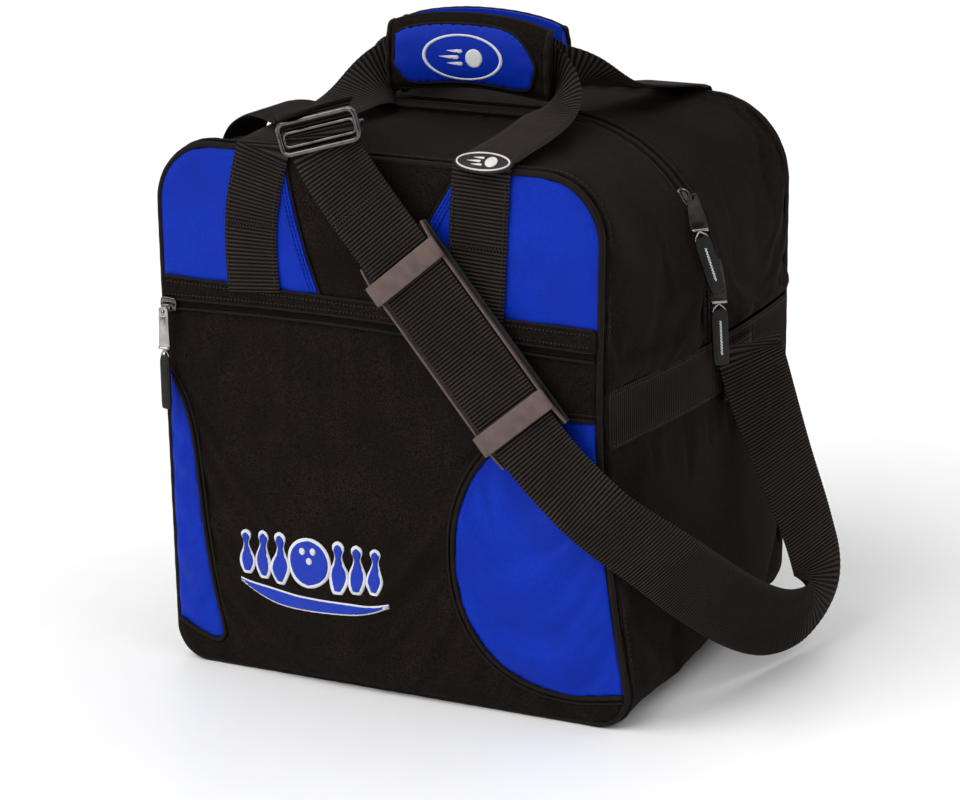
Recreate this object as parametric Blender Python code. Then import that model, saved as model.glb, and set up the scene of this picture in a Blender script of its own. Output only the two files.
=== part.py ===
"""A single-ball bowling bag: padded shell, front pocket, zippers, webbing handles and shoulder strap.

Frame: X to the right as the bag is seen from the front, Y to the back, Z up. The origin is the middle of
the underside. Units are metres.
"""
import math

import bmesh
import bpy
from mathutils import Matrix, Vector

MM = 0.001

# Driving dimensions
DEPTH = 290 * MM
TOP = 358 * MM
TOP_CROWN = 5.5 * MM
SIDE_BULGE = 9 * MM
WALL = 4 * MM
GAP = 0.35 * MM
BAND_HEIGHT = 202 * MM
SIDE_BAND = 38 * MM
WEBBING = 40 * MM
STRAP = 50 * MM
WEBBING_THICK = 2 * MM
POCKET_ZIP = 248 * MM
POCKET_BULGE = 8 * MM
POCKET_BULGE_TOP = 200 * MM
PIPING = 2.3 * MM
GRIP_HALF = 58 * MM
GRIP_MIDDLE = 404 * MM
BALL_CUP_OUTER = 96 * MM
HEM_TOP = 265 * MM
FRONT_LEGS = (-85.5 * MM, 73.5 * MM)
REAR_LEGS = (-88 * MM, 85 * MM)
UPPER_SLIDER = 35
LOWER_SLIDER = 13
POCKET_SLIDER_X = -153 * MM
TAB_LENGTH = 27 * MM
MAIN_TAB_WIDTH = 9.6 * MM
POCKET_TAB_WIDTH = 6.8 * MM
PULL_LENGTH = 36 * MM
PULL_GAP = 3.8 * MM
PAD_AT = 0.615
PAD_LENGTH = 132 * MM

# Places worked out from them
FRONT = -DEPTH / 2
BACK = DEPTH / 2
BAND_TOP = BAND_HEIGHT + SIDE_BAND / 2
SPLIT = BAND_TOP + 1.5 * MM
EDGE_INSET = PIPING + 0.3 * MM
WALL_INSET = EDGE_INSET + PIPING + 3 * GAP
CROWN = 2.5 * MM
WALL_FACE = 1.5 * MM
SKIN = 1.2 * MM
ZIP_HALF = 9 * MM
ZIP_SPLIT = 0.5 * MM
LID_AXIS = Vector((0, BACK + 4.2 * MM, SPLIT - 0.1 * MM))
HANDLE_AXIS = Vector((0, BACK - 5.4 * MM, TOP + 3 * MM))
LEFT_TIP = 200 * MM
RIGHT_LOW = 14 * MM
RIGHT_TOP = 199.5 * MM
OVAL_X = 137 * MM
OVAL_Z = 104 * MM
OVAL_WIDE = 90 * MM
OVAL_HIGH = 98 * MM
STRAP_START = Vector((-8 * MM, FRONT - 19 * MM, 337 * MM))
STRAP_END = Vector((114 * MM, FRONT - 19 * MM, 190 * MM))
GLIDE = Vector((-30 * MM, FRONT - 17 * MM, 375 * MM))
GLIDE_RUN = Vector((0.28, 0, -0.96))

SIDE_ROWS = 5
ARC_POINTS = 7
TOP_POINTS = 5
RING_POINTS = 8

FABRIC = ((0.012, 0.010, 0.009), 0.85, 0.0)
BLUE = ((0.010, 0.045, 0.42), 0.55, 0.0)
WEB = ((0.014, 0.012, 0.011), 0.75, 0.0)
METAL = ((0.08, 0.08, 0.085), 0.3, 1.0)
RUBBER = ((0.02, 0.02, 0.02), 0.6, 0.0)
FOAM = ((0.10, 0.10, 0.11), 0.95, 0.0)
BOARD = ((0.05, 0.05, 0.05), 0.7, 0.0)
PAD = ((0.06, 0.05, 0.05), 0.6, 0.0)


# ---------------------------------------------------------------- mesh helpers
def make_object(name, mesh, look):
    """Link a mesh under the node's name, shaded smooth, with its own material."""
    colour, roughness, metallic = look
    material = bpy.data.materials.new(name)
    material.use_nodes = True
    shader = material.node_tree.nodes["Principled BSDF"]
    shader.inputs["Base Color"].default_value = (*colour, 1)
    shader.inputs["Roughness"].default_value = roughness
    shader.inputs["Metallic"].default_value = metallic
    mesh.materials.append(material)
    mesh.shade_smooth()
    mesh.set_sharp_from_angle(angle=math.radians(35))
    obj = bpy.data.objects.new(name, mesh)
    bpy.context.collection.objects.link(obj)
    return obj


def mesh_from(name, points, faces):
    """A mesh whose faces all point out."""
    bm = bmesh.new()
    verts = [bm.verts.new(p) for p in points]
    for face in faces:
        bm.faces.new([verts[i] for i in face])
    bmesh.ops.recalc_face_normals(bm, faces=bm.faces)
    mesh = bpy.data.meshes.new(name)
    bm.to_mesh(mesh)
    bm.free()
    return mesh


def loft(name, rings, look, closed=False):
    """Skin equal rings of points; the ends are capped, or joined when the path is closed."""
    size = len(rings[0])
    points = [p for ring in rings for p in ring]
    faces = []
    last = len(rings) if closed else len(rings) - 1
    for i in range(last):
        here, there = i * size, (i + 1) % len(rings) * size
        for j in range(size):
            k = (j + 1) % size
            faces.append((here + j, here + k, there + k, there + j))
    if not closed:
        faces.append(tuple(range(size)))
        faces.append(tuple(range((len(rings) - 1) * size, len(rings) * size)))
    return make_object(name, mesh_from(name, points, faces), look)


def sheet(name, outer, inner, look):
    """A sheet with a thickness: two equal grids of points, joined round their rim."""
    rows, cols = len(outer), len(outer[0])
    points = [p for grid in (outer, inner) for row in grid for p in row]
    faces = []
    for side in (0, rows * cols):
        for i in range(rows - 1):
            for j in range(cols - 1):
                a = side + i * cols + j
                faces.append((a, a + 1, a + cols + 1, a + cols))
    rim = list(range(cols))
    rim += [i * cols + cols - 1 for i in range(1, rows)]
    rim += [(rows - 1) * cols + j for j in range(cols - 2, -1, -1)]
    rim += [i * cols for i in range(rows - 2, 0, -1)]
    for a, b in zip(rim, rim[1:] + rim[:1]):
        faces.append((a, b, b + rows * cols, a + rows * cols))
    return make_object(name, mesh_from(name, points, faces), look)


def spread(start, end, count):
    """Evenly spaced numbers, both ends included."""
    return [start + (end - start) * i / (count - 1) for i in range(count)]


def smooth_path(knots, steps):
    """A Catmull-Rom curve through the knots, each a tuple of numbers."""
    ends = [knots[0]] + list(knots) + [knots[-1]]
    found = []
    for i in range(1, len(ends) - 2):
        a, b, c, d = (Vector(k) for k in ends[i - 1:i + 3])
        for step in range(steps):
            t = step / steps
            found.append(0.5 * (2 * b + (c - a) * t + (2 * a - 5 * b + 4 * c - d) * t * t
                                + (3 * b - a - 3 * c + d) * t ** 3))
    return found + [Vector(knots[-1])]


def ribbon(name, knots, width, thick, look, steps=3, offset=0.0, skewed=False):
    """A flat band through (point, width direction) knots; offset moves it along its face's normal.

    The width is turned square to the path unless the band is skewed, as in a twist that climbs.
    """
    path = smooth_path([point for point, _ in knots], steps)
    hints = smooth_path([side for _, side in knots], steps)
    rings = []
    for i, (point, hint) in enumerate(zip(path, hints)):
        along = (path[min(i + 1, len(path) - 1)] - path[max(i - 1, 0)]).normalized()
        across = hint if skewed else hint - along * hint.dot(along)
        side = across.normalized() * width / 2
        face = along.cross(side).normalized()
        middle = point + face * offset
        up = face * thick / 2
        rings.append([middle - side - up, middle + side - up, middle + side + up, middle - side + up])
    return loft(name, rings, look)


def tube(name, path, radius, look, closed=False, count=RING_POINTS, side=Vector((0, 1, 0))):
    """A round cord along a path."""
    rings = []
    for i, point in enumerate(path):
        if closed:
            along = path[(i + 1) % len(path)] - path[i - 1]
        else:
            along = path[min(i + 1, len(path) - 1)] - path[max(i - 1, 0)]
        along.normalize()
        first = (side - along * side.dot(along)).normalized()
        second = along.cross(first)
        turns = [2 * math.pi * k / count for k in range(count)]
        rings.append([point + (first * math.cos(a) + second * math.sin(a)) * radius for a in turns])
    return loft(name, rings, look, closed)


def block(name, size, place, look, bevel=0.0):
    """A box of a size, placed by a matrix, with rounded edges."""
    bm = bmesh.new()
    bmesh.ops.create_cube(bm, size=1)
    bmesh.ops.scale(bm, vec=size, verts=bm.verts)
    if bevel:
        bmesh.ops.bevel(bm, geom=bm.edges[:], offset=bevel, segments=1, affect="EDGES", profile=0.5)
    bmesh.ops.transform(bm, matrix=place, verts=bm.verts)
    mesh = bpy.data.meshes.new(name)
    bm.to_mesh(mesh)
    bm.free()
    return make_object(name, mesh, look)


def prism(name, outline, depth, place, look):
    """A flat plate: an outline in X and Y, thickened in Z about its own middle."""
    rings = [[place @ Vector((x, y, z)) for x, y in outline] for z in (-depth / 2, depth / 2)]
    return loft(name, rings, look)


# ---------------------------------------------------------------- the body's shape
def mix(front, back, bulge, t):
    """A value along the depth: straight from front to back, and more in the middle."""
    return front * (1 - t) + back * t + bulge * 4 * t * (1 - t)


def depth_fraction(y):
    return (y - FRONT) / DEPTH


def half_width(side, z, t):
    """How far the shell stands out at a height: side is 1 for +X and -1 for -X."""
    if side > 0:
        flare = 24 * MM * max(0.0, 1 - z / 0.205) ** 1.6
        front = 155 * MM + flare + 2 * MM * max(0.0, z - 0.205) / 0.110
        back = 166 * MM
    else:
        front = 158 * MM + 4 * MM * min(1.0, z / 0.300)
        back = 164 * MM
    return mix(front, back, SIDE_BULGE * 4 * (z / TOP) * (1 - z / TOP), t)


def top_height(t):
    return mix(TOP, TOP, TOP_CROWN, t)


def top_radius(t):
    return mix(42 * MM, 58 * MM, 62 * MM, t)


def bottom_radius(t):
    return mix(24 * MM, 24 * MM, 6 * MM, t)


def corner(side, t, top):
    """The centre and radius of a corner of the outline."""
    radius = top_radius(t) if top else bottom_radius(t)
    z = top_height(t) - radius if top else radius
    return side * (half_width(side, z, t) - radius), z, radius


def edge_x(side, z, t, inset):
    """Where the outline stands at a height, corners included."""
    for top in (True, False):
        x, centre, radius = corner(side, t, top)
        past = z - centre if top else centre - z
        if past > 0:
            reach = radius - inset
            return x + side * math.sqrt(max(reach ** 2 - past ** 2, 0.0))
    return side * (half_width(side, z, t) - inset)


def quarter(side, t, top, inset, rising):
    """The points round one corner, from the side to the top or bottom when rising."""
    x, z, radius = corner(side, t, top)
    reach = radius - inset
    turns = spread(0, math.pi / 2, ARC_POINTS)
    if not rising:
        turns.reverse()
    up = 1 if top else -1
    return [(x + side * reach * math.cos(a), z + up * reach * math.sin(a)) for a in turns]


def arch(t, low, inset):
    """The outline from the right side at a height, over the top, to the left side."""
    found = []
    start = corner(1, t, True)
    found += [(half_width(1, z, t) - inset, z) for z in spread(low, start[1], SIDE_ROWS)[:-1]]
    found += quarter(1, t, True, inset, True)
    end = corner(-1, t, True)
    found += [(x, top_height(t) - inset) for x in spread(start[0], end[0], TOP_POINTS)[1:-1]]
    found += quarter(-1, t, True, inset, False)
    found += [(-half_width(-1, z, t) + inset, z) for z in spread(end[1], low, SIDE_ROWS)[1:]]
    return found


def tub(t, high, inset):
    """The outline from the left side at a height, under the bottom, to the right side."""
    found = []
    start = corner(-1, t, False)
    found += [(-half_width(-1, z, t) + inset, z) for z in spread(high, start[1], SIDE_ROWS)[:-1]]
    found += quarter(-1, t, False, inset, True)
    end = corner(1, t, False)
    found += [(x, inset) for x in spread(start[0], end[0], TOP_POINTS)[1:-1]]
    found += quarter(1, t, False, inset, False)
    found += [(half_width(1, z, t) - inset, z) for z in spread(end[1], high, SIDE_ROWS)[1:]]
    return found


def strip(name, outline, low, first, last, rows, look, outset=0.0, thick=WALL):
    """A band of the gusset between two depths."""
    grids = []
    for inset in (-outset, thick - outset):
        grid = []
        for y in spread(first, last, rows):
            grid.append([Vector((x, y, z)) for x, z in outline(depth_fraction(y), low, inset)])
        grids.append(grid)
    return sheet(name, grids[0], grids[1], look)


def bulge_over(x, z, low, high, half):
    """1 in the middle of a panel and 0 at its edges."""
    across = max(0.0, 1 - (x / half) ** 2)
    up = (z - low) / (high - low)
    return across * max(0.0, 4 * up * (1 - up)) ** 0.7


def wall_y(x, z):
    """The outer face of the front wall."""
    return FRONT - WALL_FACE - CROWN * bulge_over(x, z, 0, TOP, 165 * MM)


def upper_y(x, z):
    """The outer face of the panels above the pocket."""
    return wall_y(x, z) - GAP - SKIN


def pocket_y(x, z):
    """The outer face of the pocket, which stands off the wall."""
    return upper_y(x, z) - POCKET_BULGE * bulge_over(x, z, -10 * MM, POCKET_BULGE_TOP, 170 * MM)


def back_y(x, z):
    return BACK + 2 * MM + CROWN * 0.6 * bulge_over(x, z, 0, TOP, 165 * MM)


def panel(name, left, right, heights, face, thick, look, cols=6, back=False):
    """A panel between two edges that are functions of the height."""
    outer, inner = [], []
    for z in heights:
        xs = spread(left(z), right(z), cols)
        outer.append([Vector((x, face(x, z), z)) for x in xs])
        inner.append([Vector((x, face(x, z) + (-thick if back else thick), z)) for x in xs])
    return sheet(name, outer, inner, look)


def outline_edge(side, t, inset):
    return lambda z: edge_x(side, z, t, inset)


def shifted(edge, amount):
    return lambda z: edge(z) + amount


def curve_between(low, high, at_low, at_high, bow):
    """An edge that runs between two places and bows sideways in the middle."""
    def edge(z):
        t = (z - low) / (high - low)
        return at_low + (at_high - at_low) * t + bow * 4 * t * (1 - t)
    return edge


# ---------------------------------------------------------------- shell and front
def shell():
    """The padded gusset in three strips, the front wall and the back wall in two halves."""
    start, end = FRONT + PIPING + GAP, BACK - PIPING - GAP
    strip("lower_gusset", tub, BAND_HEIGHT - GAP, start, end, 7, FABRIC)
    strip("top_front_gusset", arch, BAND_HEIGHT, start, -ZIP_HALF, 5, FABRIC)
    strip("top_rear_gusset", arch, SPLIT + GAP, ZIP_HALF, end, 5, FABRIC)
    low, high = WALL_INSET, TOP - WALL_INSET
    edges = [outline_edge(side, 0, WALL_INSET) for side in (-1, 1)]
    panel("front_wall", *edges, spread(low, high, 14), wall_y, WALL, FABRIC, cols=8)
    edges = [outline_edge(side, 1, WALL_INSET) for side in (-1, 1)]
    panel("back_wall_lower", *edges, spread(low, SPLIT - GAP, 9), back_y, WALL, FABRIC, back=True)
    panel("back_wall_upper", *edges, spread(SPLIT + GAP, high, 9), back_y, WALL, FABRIC, back=True)


def outline_path(t, y, low, outline):
    return [Vector((x, y, z)) for x, z in outline(t, low, EDGE_INSET)]


def piping():
    """The corded seams round the front and the back; the back one is cut at the lid's fold."""
    whole = outline_path(0, FRONT, BAND_HEIGHT, arch) + outline_path(0, FRONT, BAND_HEIGHT, tub)[1:-1]
    tube("front_piping", whole, PIPING, FABRIC, closed=True)
    tube("back_piping_lower", outline_path(1, BACK, SPLIT - GAP, tub), PIPING, FABRIC)
    tube("back_piping_upper", outline_path(1, BACK, SPLIT + GAP, arch), PIPING, FABRIC)


def upper_front():
    """The blue shoulders, the black middle and the hem band above the pocket."""
    low, high = HEM_TOP, TOP - WALL_INSET
    left_curve = curve_between(low, high, -45 * MM, -62 * MM, 4 * MM)
    right_curve = curve_between(low, high, 30 * MM, 60 * MM, -4 * MM)
    left, right = (outline_edge(side, 0, WALL_INSET) for side in (-1, 1))
    heights = spread(low, high, 9)
    panel("front_shoulder_left", left, left_curve, heights, upper_y, SKIN, BLUE)
    panel("front_centre", shifted(left_curve, GAP), shifted(right_curve, -GAP), heights, upper_y, SKIN, FABRIC)
    panel("front_shoulder_right", right_curve, right, heights, upper_y, SKIN, BLUE)
    heights = spread(POCKET_ZIP + 5 * MM, low - GAP, 3)
    panel("hem_band", left, right, heights, upper_y, SKIN, FABRIC, cols=9)


def left_seam(z):
    """The seam beside the pocket's narrow left side, which runs out at its tip."""
    edge = edge_x(-1, LEFT_TIP, 0, WALL_INSET)
    return mix(-123 * MM, edge + 2 * MM, 8 * MM, min(1.0, (z - WALL_INSET) / (LEFT_TIP - WALL_INSET)))


def oval_seam(z, outset):
    """The oval seam round the pocket's right side, or a line that far outside it."""
    across = 1 - ((z - OVAL_Z) / (OVAL_HIGH + outset)) ** 2
    return OVAL_X - (OVAL_WIDE + outset) * math.sqrt(max(0.0, across))


def oval_heights(low, high, count):
    """Heights that crowd together at both ends, where the oval turns."""
    middle, half = (low + high) / 2, (high - low) / 2
    return [middle - half * math.cos(math.pi * i / (count - 1)) for i in range(count)]


def pocket():
    """The pocket's black front and its two blue sides, with corded seams between them."""
    low, high = WALL_INSET, POCKET_ZIP - 5 * MM
    left, right = (outline_edge(side, 0, WALL_INSET) for side in (-1, 1))
    cord = 1.3 * MM
    step = 0.1 * MM
    side_heights = spread(low, LEFT_TIP - 14 * MM, 11)
    panel("pocket_side_left", left, shifted(left_seam, -cord), side_heights, pocket_y, SKIN, BLUE, cols=4)
    heights = oval_heights(RIGHT_LOW + cord, RIGHT_TOP - cord, 15)
    panel("pocket_side_right", lambda z: oval_seam(z, -cord), right, heights, pocket_y, SKIN, BLUE)

    def black_left(z):
        return left_seam(z) + cord if z < LEFT_TIP else left(z)

    def black_right(z):
        beside = RIGHT_LOW - cord < z < RIGHT_TOP + cord
        return oval_seam(z, cord) if beside else right(z)
    heights = [low, RIGHT_LOW - cord] + oval_heights(RIGHT_LOW - cord + step, RIGHT_TOP + cord - step, 17)
    heights += spread(RIGHT_TOP + cord, high, 5)
    panel("pocket_front", black_left, black_right, heights, pocket_y, SKIN, FABRIC, cols=8)
    left_run = [(left_seam(z), z) for z in side_heights]
    right_run = [(oval_seam(z, 0), z) for z in oval_heights(RIGHT_LOW, RIGHT_TOP, 15)]
    right_run = [(right(RIGHT_LOW) - cord, RIGHT_LOW)] + right_run + [(right(RIGHT_TOP) - cord, RIGHT_TOP)]
    for name, run in (("pocket_seam_left", left_run), ("pocket_seam_right", right_run)):
        path = [Vector((x, pocket_y(x, z) + SKIN / 2, max(z, low + cord))) for x, z in run]
        tube(name, path, cord - GAP, FABRIC, count=6)


# ---------------------------------------------------------------- zippers
def zipper_half(name, first, last):
    """Half of the main zipper: a flat tape that follows the opening, with a coil along its inner edge."""
    inward = 1 if last > first else -1
    low = SPLIT + GAP
    bead = last - inward * 2.2 * MM
    upper = [(y, arch(0.5, low, depth * MM)) for y, depth in ((first, 0.6), (bead, 0.6), (bead, -1.2), (last, -0.9))]
    under = arch(0.5, low, 1.8 * MM)
    rings = []
    for i, (x, z) in enumerate(under):
        ring = [Vector((outline[i][0], y, outline[i][1])) for y, outline in upper]
        rings.append(ring + [Vector((x, last, z)), Vector((x, first, z))])
    loft(name, rings, FABRIC)


def main_zipper():
    edge = ZIP_HALF - GAP
    zipper_half("main_zipper_front_half", -edge, -ZIP_SPLIT)
    zipper_half("main_zipper_rear_half", edge, ZIP_SPLIT)


def pocket_zipper():
    """The pocket's two tapes, one sewn under the hem band and one to the pocket."""
    left, right = (outline_edge(side, 0, WALL_INSET + 1 * MM) for side in (-1, 1))
    for name, low, high in (("pocket_zipper_upper_half", POCKET_ZIP + 0.2 * MM, POCKET_ZIP + 4.6 * MM),
                            ("pocket_zipper_lower_half", POCKET_ZIP - 4.6 * MM, POCKET_ZIP - 0.2 * MM)):
        panel(name, left, right, (low, high), upper_y, SKIN, FABRIC, cols=9)


def frame_matrix(origin, across, up, out):
    """A matrix from three directions and a point."""
    matrix = Matrix((across, up, out)).transposed().to_4x4()
    matrix.translation = origin
    return matrix


def pivot(name, place, pieces, carrier=None):
    """An empty on a joint's axis: its pieces hang from it, and it hangs from the empty that carries it."""
    empty = bpy.data.objects.new(name, None)
    bpy.context.collection.objects.link(empty)
    empty.location = place - world_place(carrier)
    empty.parent = carrier
    for piece in pieces:
        obj = bpy.data.objects[piece]
        obj.parent = empty
        obj.location = -place
    return empty


def world_place(empty):
    """Where an empty stands, added up through the empties above it."""
    place = Vector()
    while empty:
        place += empty.location
        empty = empty.parent
    return place


def slider_set(prefix, centre, place, tab_place, pull_turn, pull_lean, width):
    """A slider, its tab and the rubber grip on the tab; each hangs down its own frame's -Y."""
    block(prefix + "_slider", (8 * MM, 12 * MM, 3.4 * MM), place @ Matrix.Translation((0, 0, 1.7 * MM)),
          METAL, 1 * MM)
    top, half, cut, foot = 3.4 * MM, width / 2, 1.5 * MM, -TAB_LENGTH
    outline = [(-half, foot + cut), (-half + cut, foot), (half - cut, foot), (half, foot + cut),
               (top, -cut), (top - cut, 0), (-top + cut, 0), (-top, -cut)]
    prism(prefix + "_tab", outline, 1.4 * MM, tab_place, METAL)
    hang = tab_place @ Matrix.Translation((0, foot - PULL_GAP, 0))
    hang = hang @ Matrix.Rotation(math.radians(pull_turn), 4, "Z")
    hang = hang @ Matrix.Rotation(math.radians(pull_lean), 4, "X")
    grip = hang @ Matrix.Translation((0, -PULL_LENGTH / 2, 0))
    block(prefix + "_pull", (width, PULL_LENGTH, 3 * MM), grip, RUBBER, 0.8 * MM)
    runner = pivot(prefix + "_slider_pivot", centre, [prefix + "_slider"])
    hinge = pivot(prefix + "_tab_pivot", tab_place.translation, [prefix + "_tab"], runner)
    pivot(prefix + "_pull_pivot", hang.translation, [prefix + "_pull"], hinge)


def zip_frame(angle, forward, lift):
    """A frame on the main zipper at an angle round its right corner: Y up the run, Z out of it."""
    x, z, radius = corner(1, 0.5, True)
    out = Vector((math.cos(angle), 0, math.sin(angle)))
    along = Vector((-math.sin(angle), 0, math.cos(angle)))
    origin = Vector((x, -forward, z)) + out * (radius + lift)
    return frame_matrix(origin, along.cross(out), along, out)


def sliders():
    """The main zipper's two sliders on the right shoulder, and the pocket's at its left end."""
    x, z, _ = corner(1, 0.5, True)
    centre = Vector((x, 0, z))
    for prefix, degrees, sideways, lean, pull_turn, pull_lean in (("upper", UPPER_SLIDER, -32, 4, 36, 14),
                                                                  ("lower", LOWER_SLIDER, -10, 5, 8, 4)):
        angle = math.radians(degrees)
        tab = zip_frame(angle, 4.8 * MM, 6.4 * MM) @ Matrix.Translation((0, -3 * MM, 0))
        tab = tab @ Matrix.Rotation(math.radians(sideways), 4, "Z")
        tab = tab @ Matrix.Rotation(math.radians(lean), 4, "X")
        slider_set(prefix, centre, zip_frame(angle, 4.6 * MM, 1.6 * MM), tab, pull_turn, pull_lean, MAIN_TAB_WIDTH)
    x = POCKET_SLIDER_X
    face = Vector((x, upper_y(x, POCKET_ZIP) - 2.3 * MM, POCKET_ZIP))
    place = frame_matrix(face, Vector((1, 0, 0)), Vector((0, 0, 1)), Vector((0, -1, 0)))
    body = place @ Matrix.Rotation(math.pi / 2, 4, "Z")
    tab = place @ Matrix.Translation((0, -3 * MM, 5.7 * MM))
    slider_set("pocket", face, body, tab, 0, 0, POCKET_TAB_WIDTH)


# ---------------------------------------------------------------- handles
def leg_middle(x, z):
    """The sewn webbing leans a little: the middle of its width at a height."""
    return x + 0.05 * (z - 0.320)


def sewn_leg(name, x, face, way):
    """Webbing sewn up the face and over the edge, to where the handle leaves the bag."""
    knots = []
    for z in spread(HEM_TOP, TOP - 7 * MM, 5):
        middle = leg_middle(x, z)
        knots.append((middle, face(middle, z) + way * (GAP + WEBBING_THICK / 2), z))
    top = leg_middle(x, TOP)
    turn = ((149.5, 356.8), (147.4, 359.6), (144.4, 360.7), (141.6, 360.9))
    knots += [(top, way * y * MM, z * MM) for y, z in turn]
    ribbon(name, [(knot, (1, 0, 0)) for knot in knots], WEBBING, WEBBING_THICK, WEB, steps=2)


def handle_loop(name, way, seams, rise):
    """One handle: a webbing loop from seam to seam, turned on edge inside the grip. way is -1 in front."""
    run = [(0, HANDLE_AXIS.y / MM, 361, 0), (0.03, 125, 362.3 + 0.3 * rise, 0),
           (0.1, 85, 364.8 + 0.7 * rise, 0.02), (0.28, 48, 368.3 + rise, 0.06), (0.43, 26, 373.5 + rise, 0.25),
           (0.68, 10, 382 + 0.5 * rise, 0.65), (0.9, 4.8, 389, 0.95), (1, 4.5, 391.5, 1)]
    sides = []
    for seam, out in zip(seams, (-1, 1)):
        side = []
        for along, y, z, turn in run:
            x = seam + (out * GRIP_HALF - seam) * along
            side.append(((x, way * y * MM, z * MM), (1 - turn, 0, out * turn)))
        side.append(((out * 40 * MM, way * 4.5 * MM, 397 * MM), (0, 0, out)))
        sides.append(side)
    middle = [((0, way * 4.5 * MM, 401 * MM), (0, 0, -1))]
    far = [(point, tuple(-c for c in hint)) for point, hint in reversed(sides[1])]
    ribbon(name, sides[0] + middle + far, WEBBING, WEBBING_THICK, WEB, steps=3, skewed=True)


def grip_half(name, way, inner, outer):
    """A padded half of the grip: flat against the webbing and round outside, drooping at its ends."""
    rings = []
    for x in spread(-GRIP_HALF, GRIP_HALF, 9):
        droop = 7 * MM * (x / GRIP_HALF) ** 2
        end = math.sqrt(max(0.0, 1 - (x / (GRIP_HALF * 1.06)) ** 6))
        middle, reach = GRIP_MIDDLE - droop, 24.5 * MM * (0.8 + 0.2 * end)
        ring = [Vector((x, way * inner, middle - reach)), Vector((x, way * inner, middle + reach))]
        for k in range(1, 8):
            a = math.pi / 2 - math.pi * k / 8
            out = inner + (outer - inner) * (0.55 + 0.45 * end) * abs(math.cos(a)) ** 0.55
            ring.append(Vector((x, way * out, middle + reach * math.sin(a))))
        rings.append(ring)
    loft(name, rings, BLUE)


def handles():
    """Both handles: sewn legs, loops, the two halves of the grip, their patches and the badge."""
    for end, way, seams, face, rise in (("front", -1, FRONT_LEGS, upper_y, 0), ("rear", 1, REAR_LEGS, back_y, 9)):
        for side, x in zip(("left", "right"), seams):
            sewn_leg(f"{end}_leg_{side}", x, face, way)
        handle_loop(end + "_handle_loop", way, [leg_middle(x, TOP) for x in seams], rise)
    grip_half("grip_front_pad", -1, 7 * MM, 21 * MM)
    grip_half("grip_rear_pad", 1, 7 * MM, 20 * MM)
    for name, way in (("grip_hook_patch", -1), ("grip_loop_patch", 1)):
        place = Matrix.Translation((0, way * 1.6 * MM, GRIP_MIDDLE))
        block(name, (70 * MM, 1.8 * MM, 26 * MM), place, FABRIC)
    turns = [2 * math.pi * k / 20 for k in range(20)]
    oval = [(20 * MM * math.cos(a), 8.5 * MM * math.sin(a)) for a in turns]
    out = Vector((0, -0.62, 0.785)).normalized()
    up = Vector((0, out.z, -out.y))
    seat = Vector((leg_middle(FRONT_LEGS[1], TOP) + 2 * MM, FRONT - 5.8 * MM, 361.5 * MM))
    prism("handle_badge", oval, 2.4 * MM, frame_matrix(seat, Vector((1, 0, 0)), up, out), RUBBER)


def lid_and_handles():
    """The pivots of the lid and of both handles."""
    lid = pivot("lid_pivot", LID_AXIS, ["top_rear_gusset", "back_wall_upper", "back_piping_upper",
                                        "main_zipper_rear_half", "rear_leg_left", "rear_leg_right"])
    front = Vector((0, -HANDLE_AXIS.y, HANDLE_AXIS.z))
    pivot("front_handle_pivot", front, ["front_handle_loop", "grip_front_pad", "grip_hook_patch"])
    pivot("rear_handle_pivot", HANDLE_AXIS, ["rear_handle_loop", "grip_rear_pad", "grip_loop_patch"], lid)


# ---------------------------------------------------------------- shoulder strap
def glide_across():
    """The strap's width direction through the tri-glide."""
    return tuple(GLIDE_RUN.cross(Vector((0, 1, 0))))


def strap_across():
    """The strap's width direction along its straight run down the front."""
    along = (STRAP_END - STRAP_START).normalized()
    return tuple(along.cross(Vector((0, 1, 0))))


def knots_from(places):
    """Knots whose places are given in millimetres."""
    return [(tuple(c * MM for c in point), side) for point, side in places]


def strap_knots_top():
    """From the left side's anchor up the side, over the shoulder and the handle's leg, to the tri-glide."""
    places = [((-175.2, 36, 212), (0, 1, 0)), ((-178, 30, 240), (0, 1, 0)), ((-177, 10, 272), (0, 1, 0)),
              ((-172, -16, 304), (0, 1, 0.1)), ((-157, -42, 336), (0.1, 0.98, 0.15)),
              ((-135, -62, 358), (0.2, 0.97, 0.1)), ((-112, -77, 368), (0.25, 0.96, 0.05)),
              ((-90, -92, 371), (0.3, 0.95, 0.05)), ((-70, -110, 374), (0.4, 0.9, 0.1)),
              ((-54, -130, 379), (0.6, 0.75, 0.15)), ((-43, -149, 386), (0.85, 0.45, 0.2))]
    end = GLIDE - GLIDE_RUN * 16.5 * MM
    return knots_from(places) + [(tuple(end), glide_across())]


def strap_knots_low():
    """From the tri-glide down the front, round the right edge, and up to the right side's anchor."""
    across = strap_across()
    glide = [(tuple(GLIDE + GLIDE_RUN * at * MM), glide_across()) for at in (-13, 0, 13)]
    straight = [(tuple(STRAP_START.lerp(STRAP_END, f)), across) for f in (0, 0.33, 0.67, 1)]
    places = [((138, -164, 166), (0.74, 0, 0.67)), ((164, -160, 143), (0.72, 0.05, 0.7)),
              ((190, -132, 113), (0.62, 0.15, 0.75)), ((203, -92, 82), (0.5, 0.25, 0.8)),
              ((214, -48, 53), (0.4, 0.3, 0.85)), ((222, -6, 35), (0.3, 0, 0.95)),
              ((228, 30, 33), (0.1, -0.5, 0.8)), ((229, 47, 52), (-0.3, -0.9, 0.3)),
              ((223, 44, 84), (-0.34, -0.94, 0)), ((206, 33, 136), (-0.34, -0.94, 0)),
              ((190, 33, 178), (-0.25, -0.96, 0)), ((176.2, 34, 211), (0, -1, 0))]
    return glide + straight + knots_from(places)


def strap_frame(origin, run, lift):
    """A frame on the strap: X across it, Y up along its run, Z out of it."""
    along = -run.normalized()
    out = Vector((0, -1, 0))
    return frame_matrix(origin + out * lift, along.cross(out), along, out)


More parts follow.
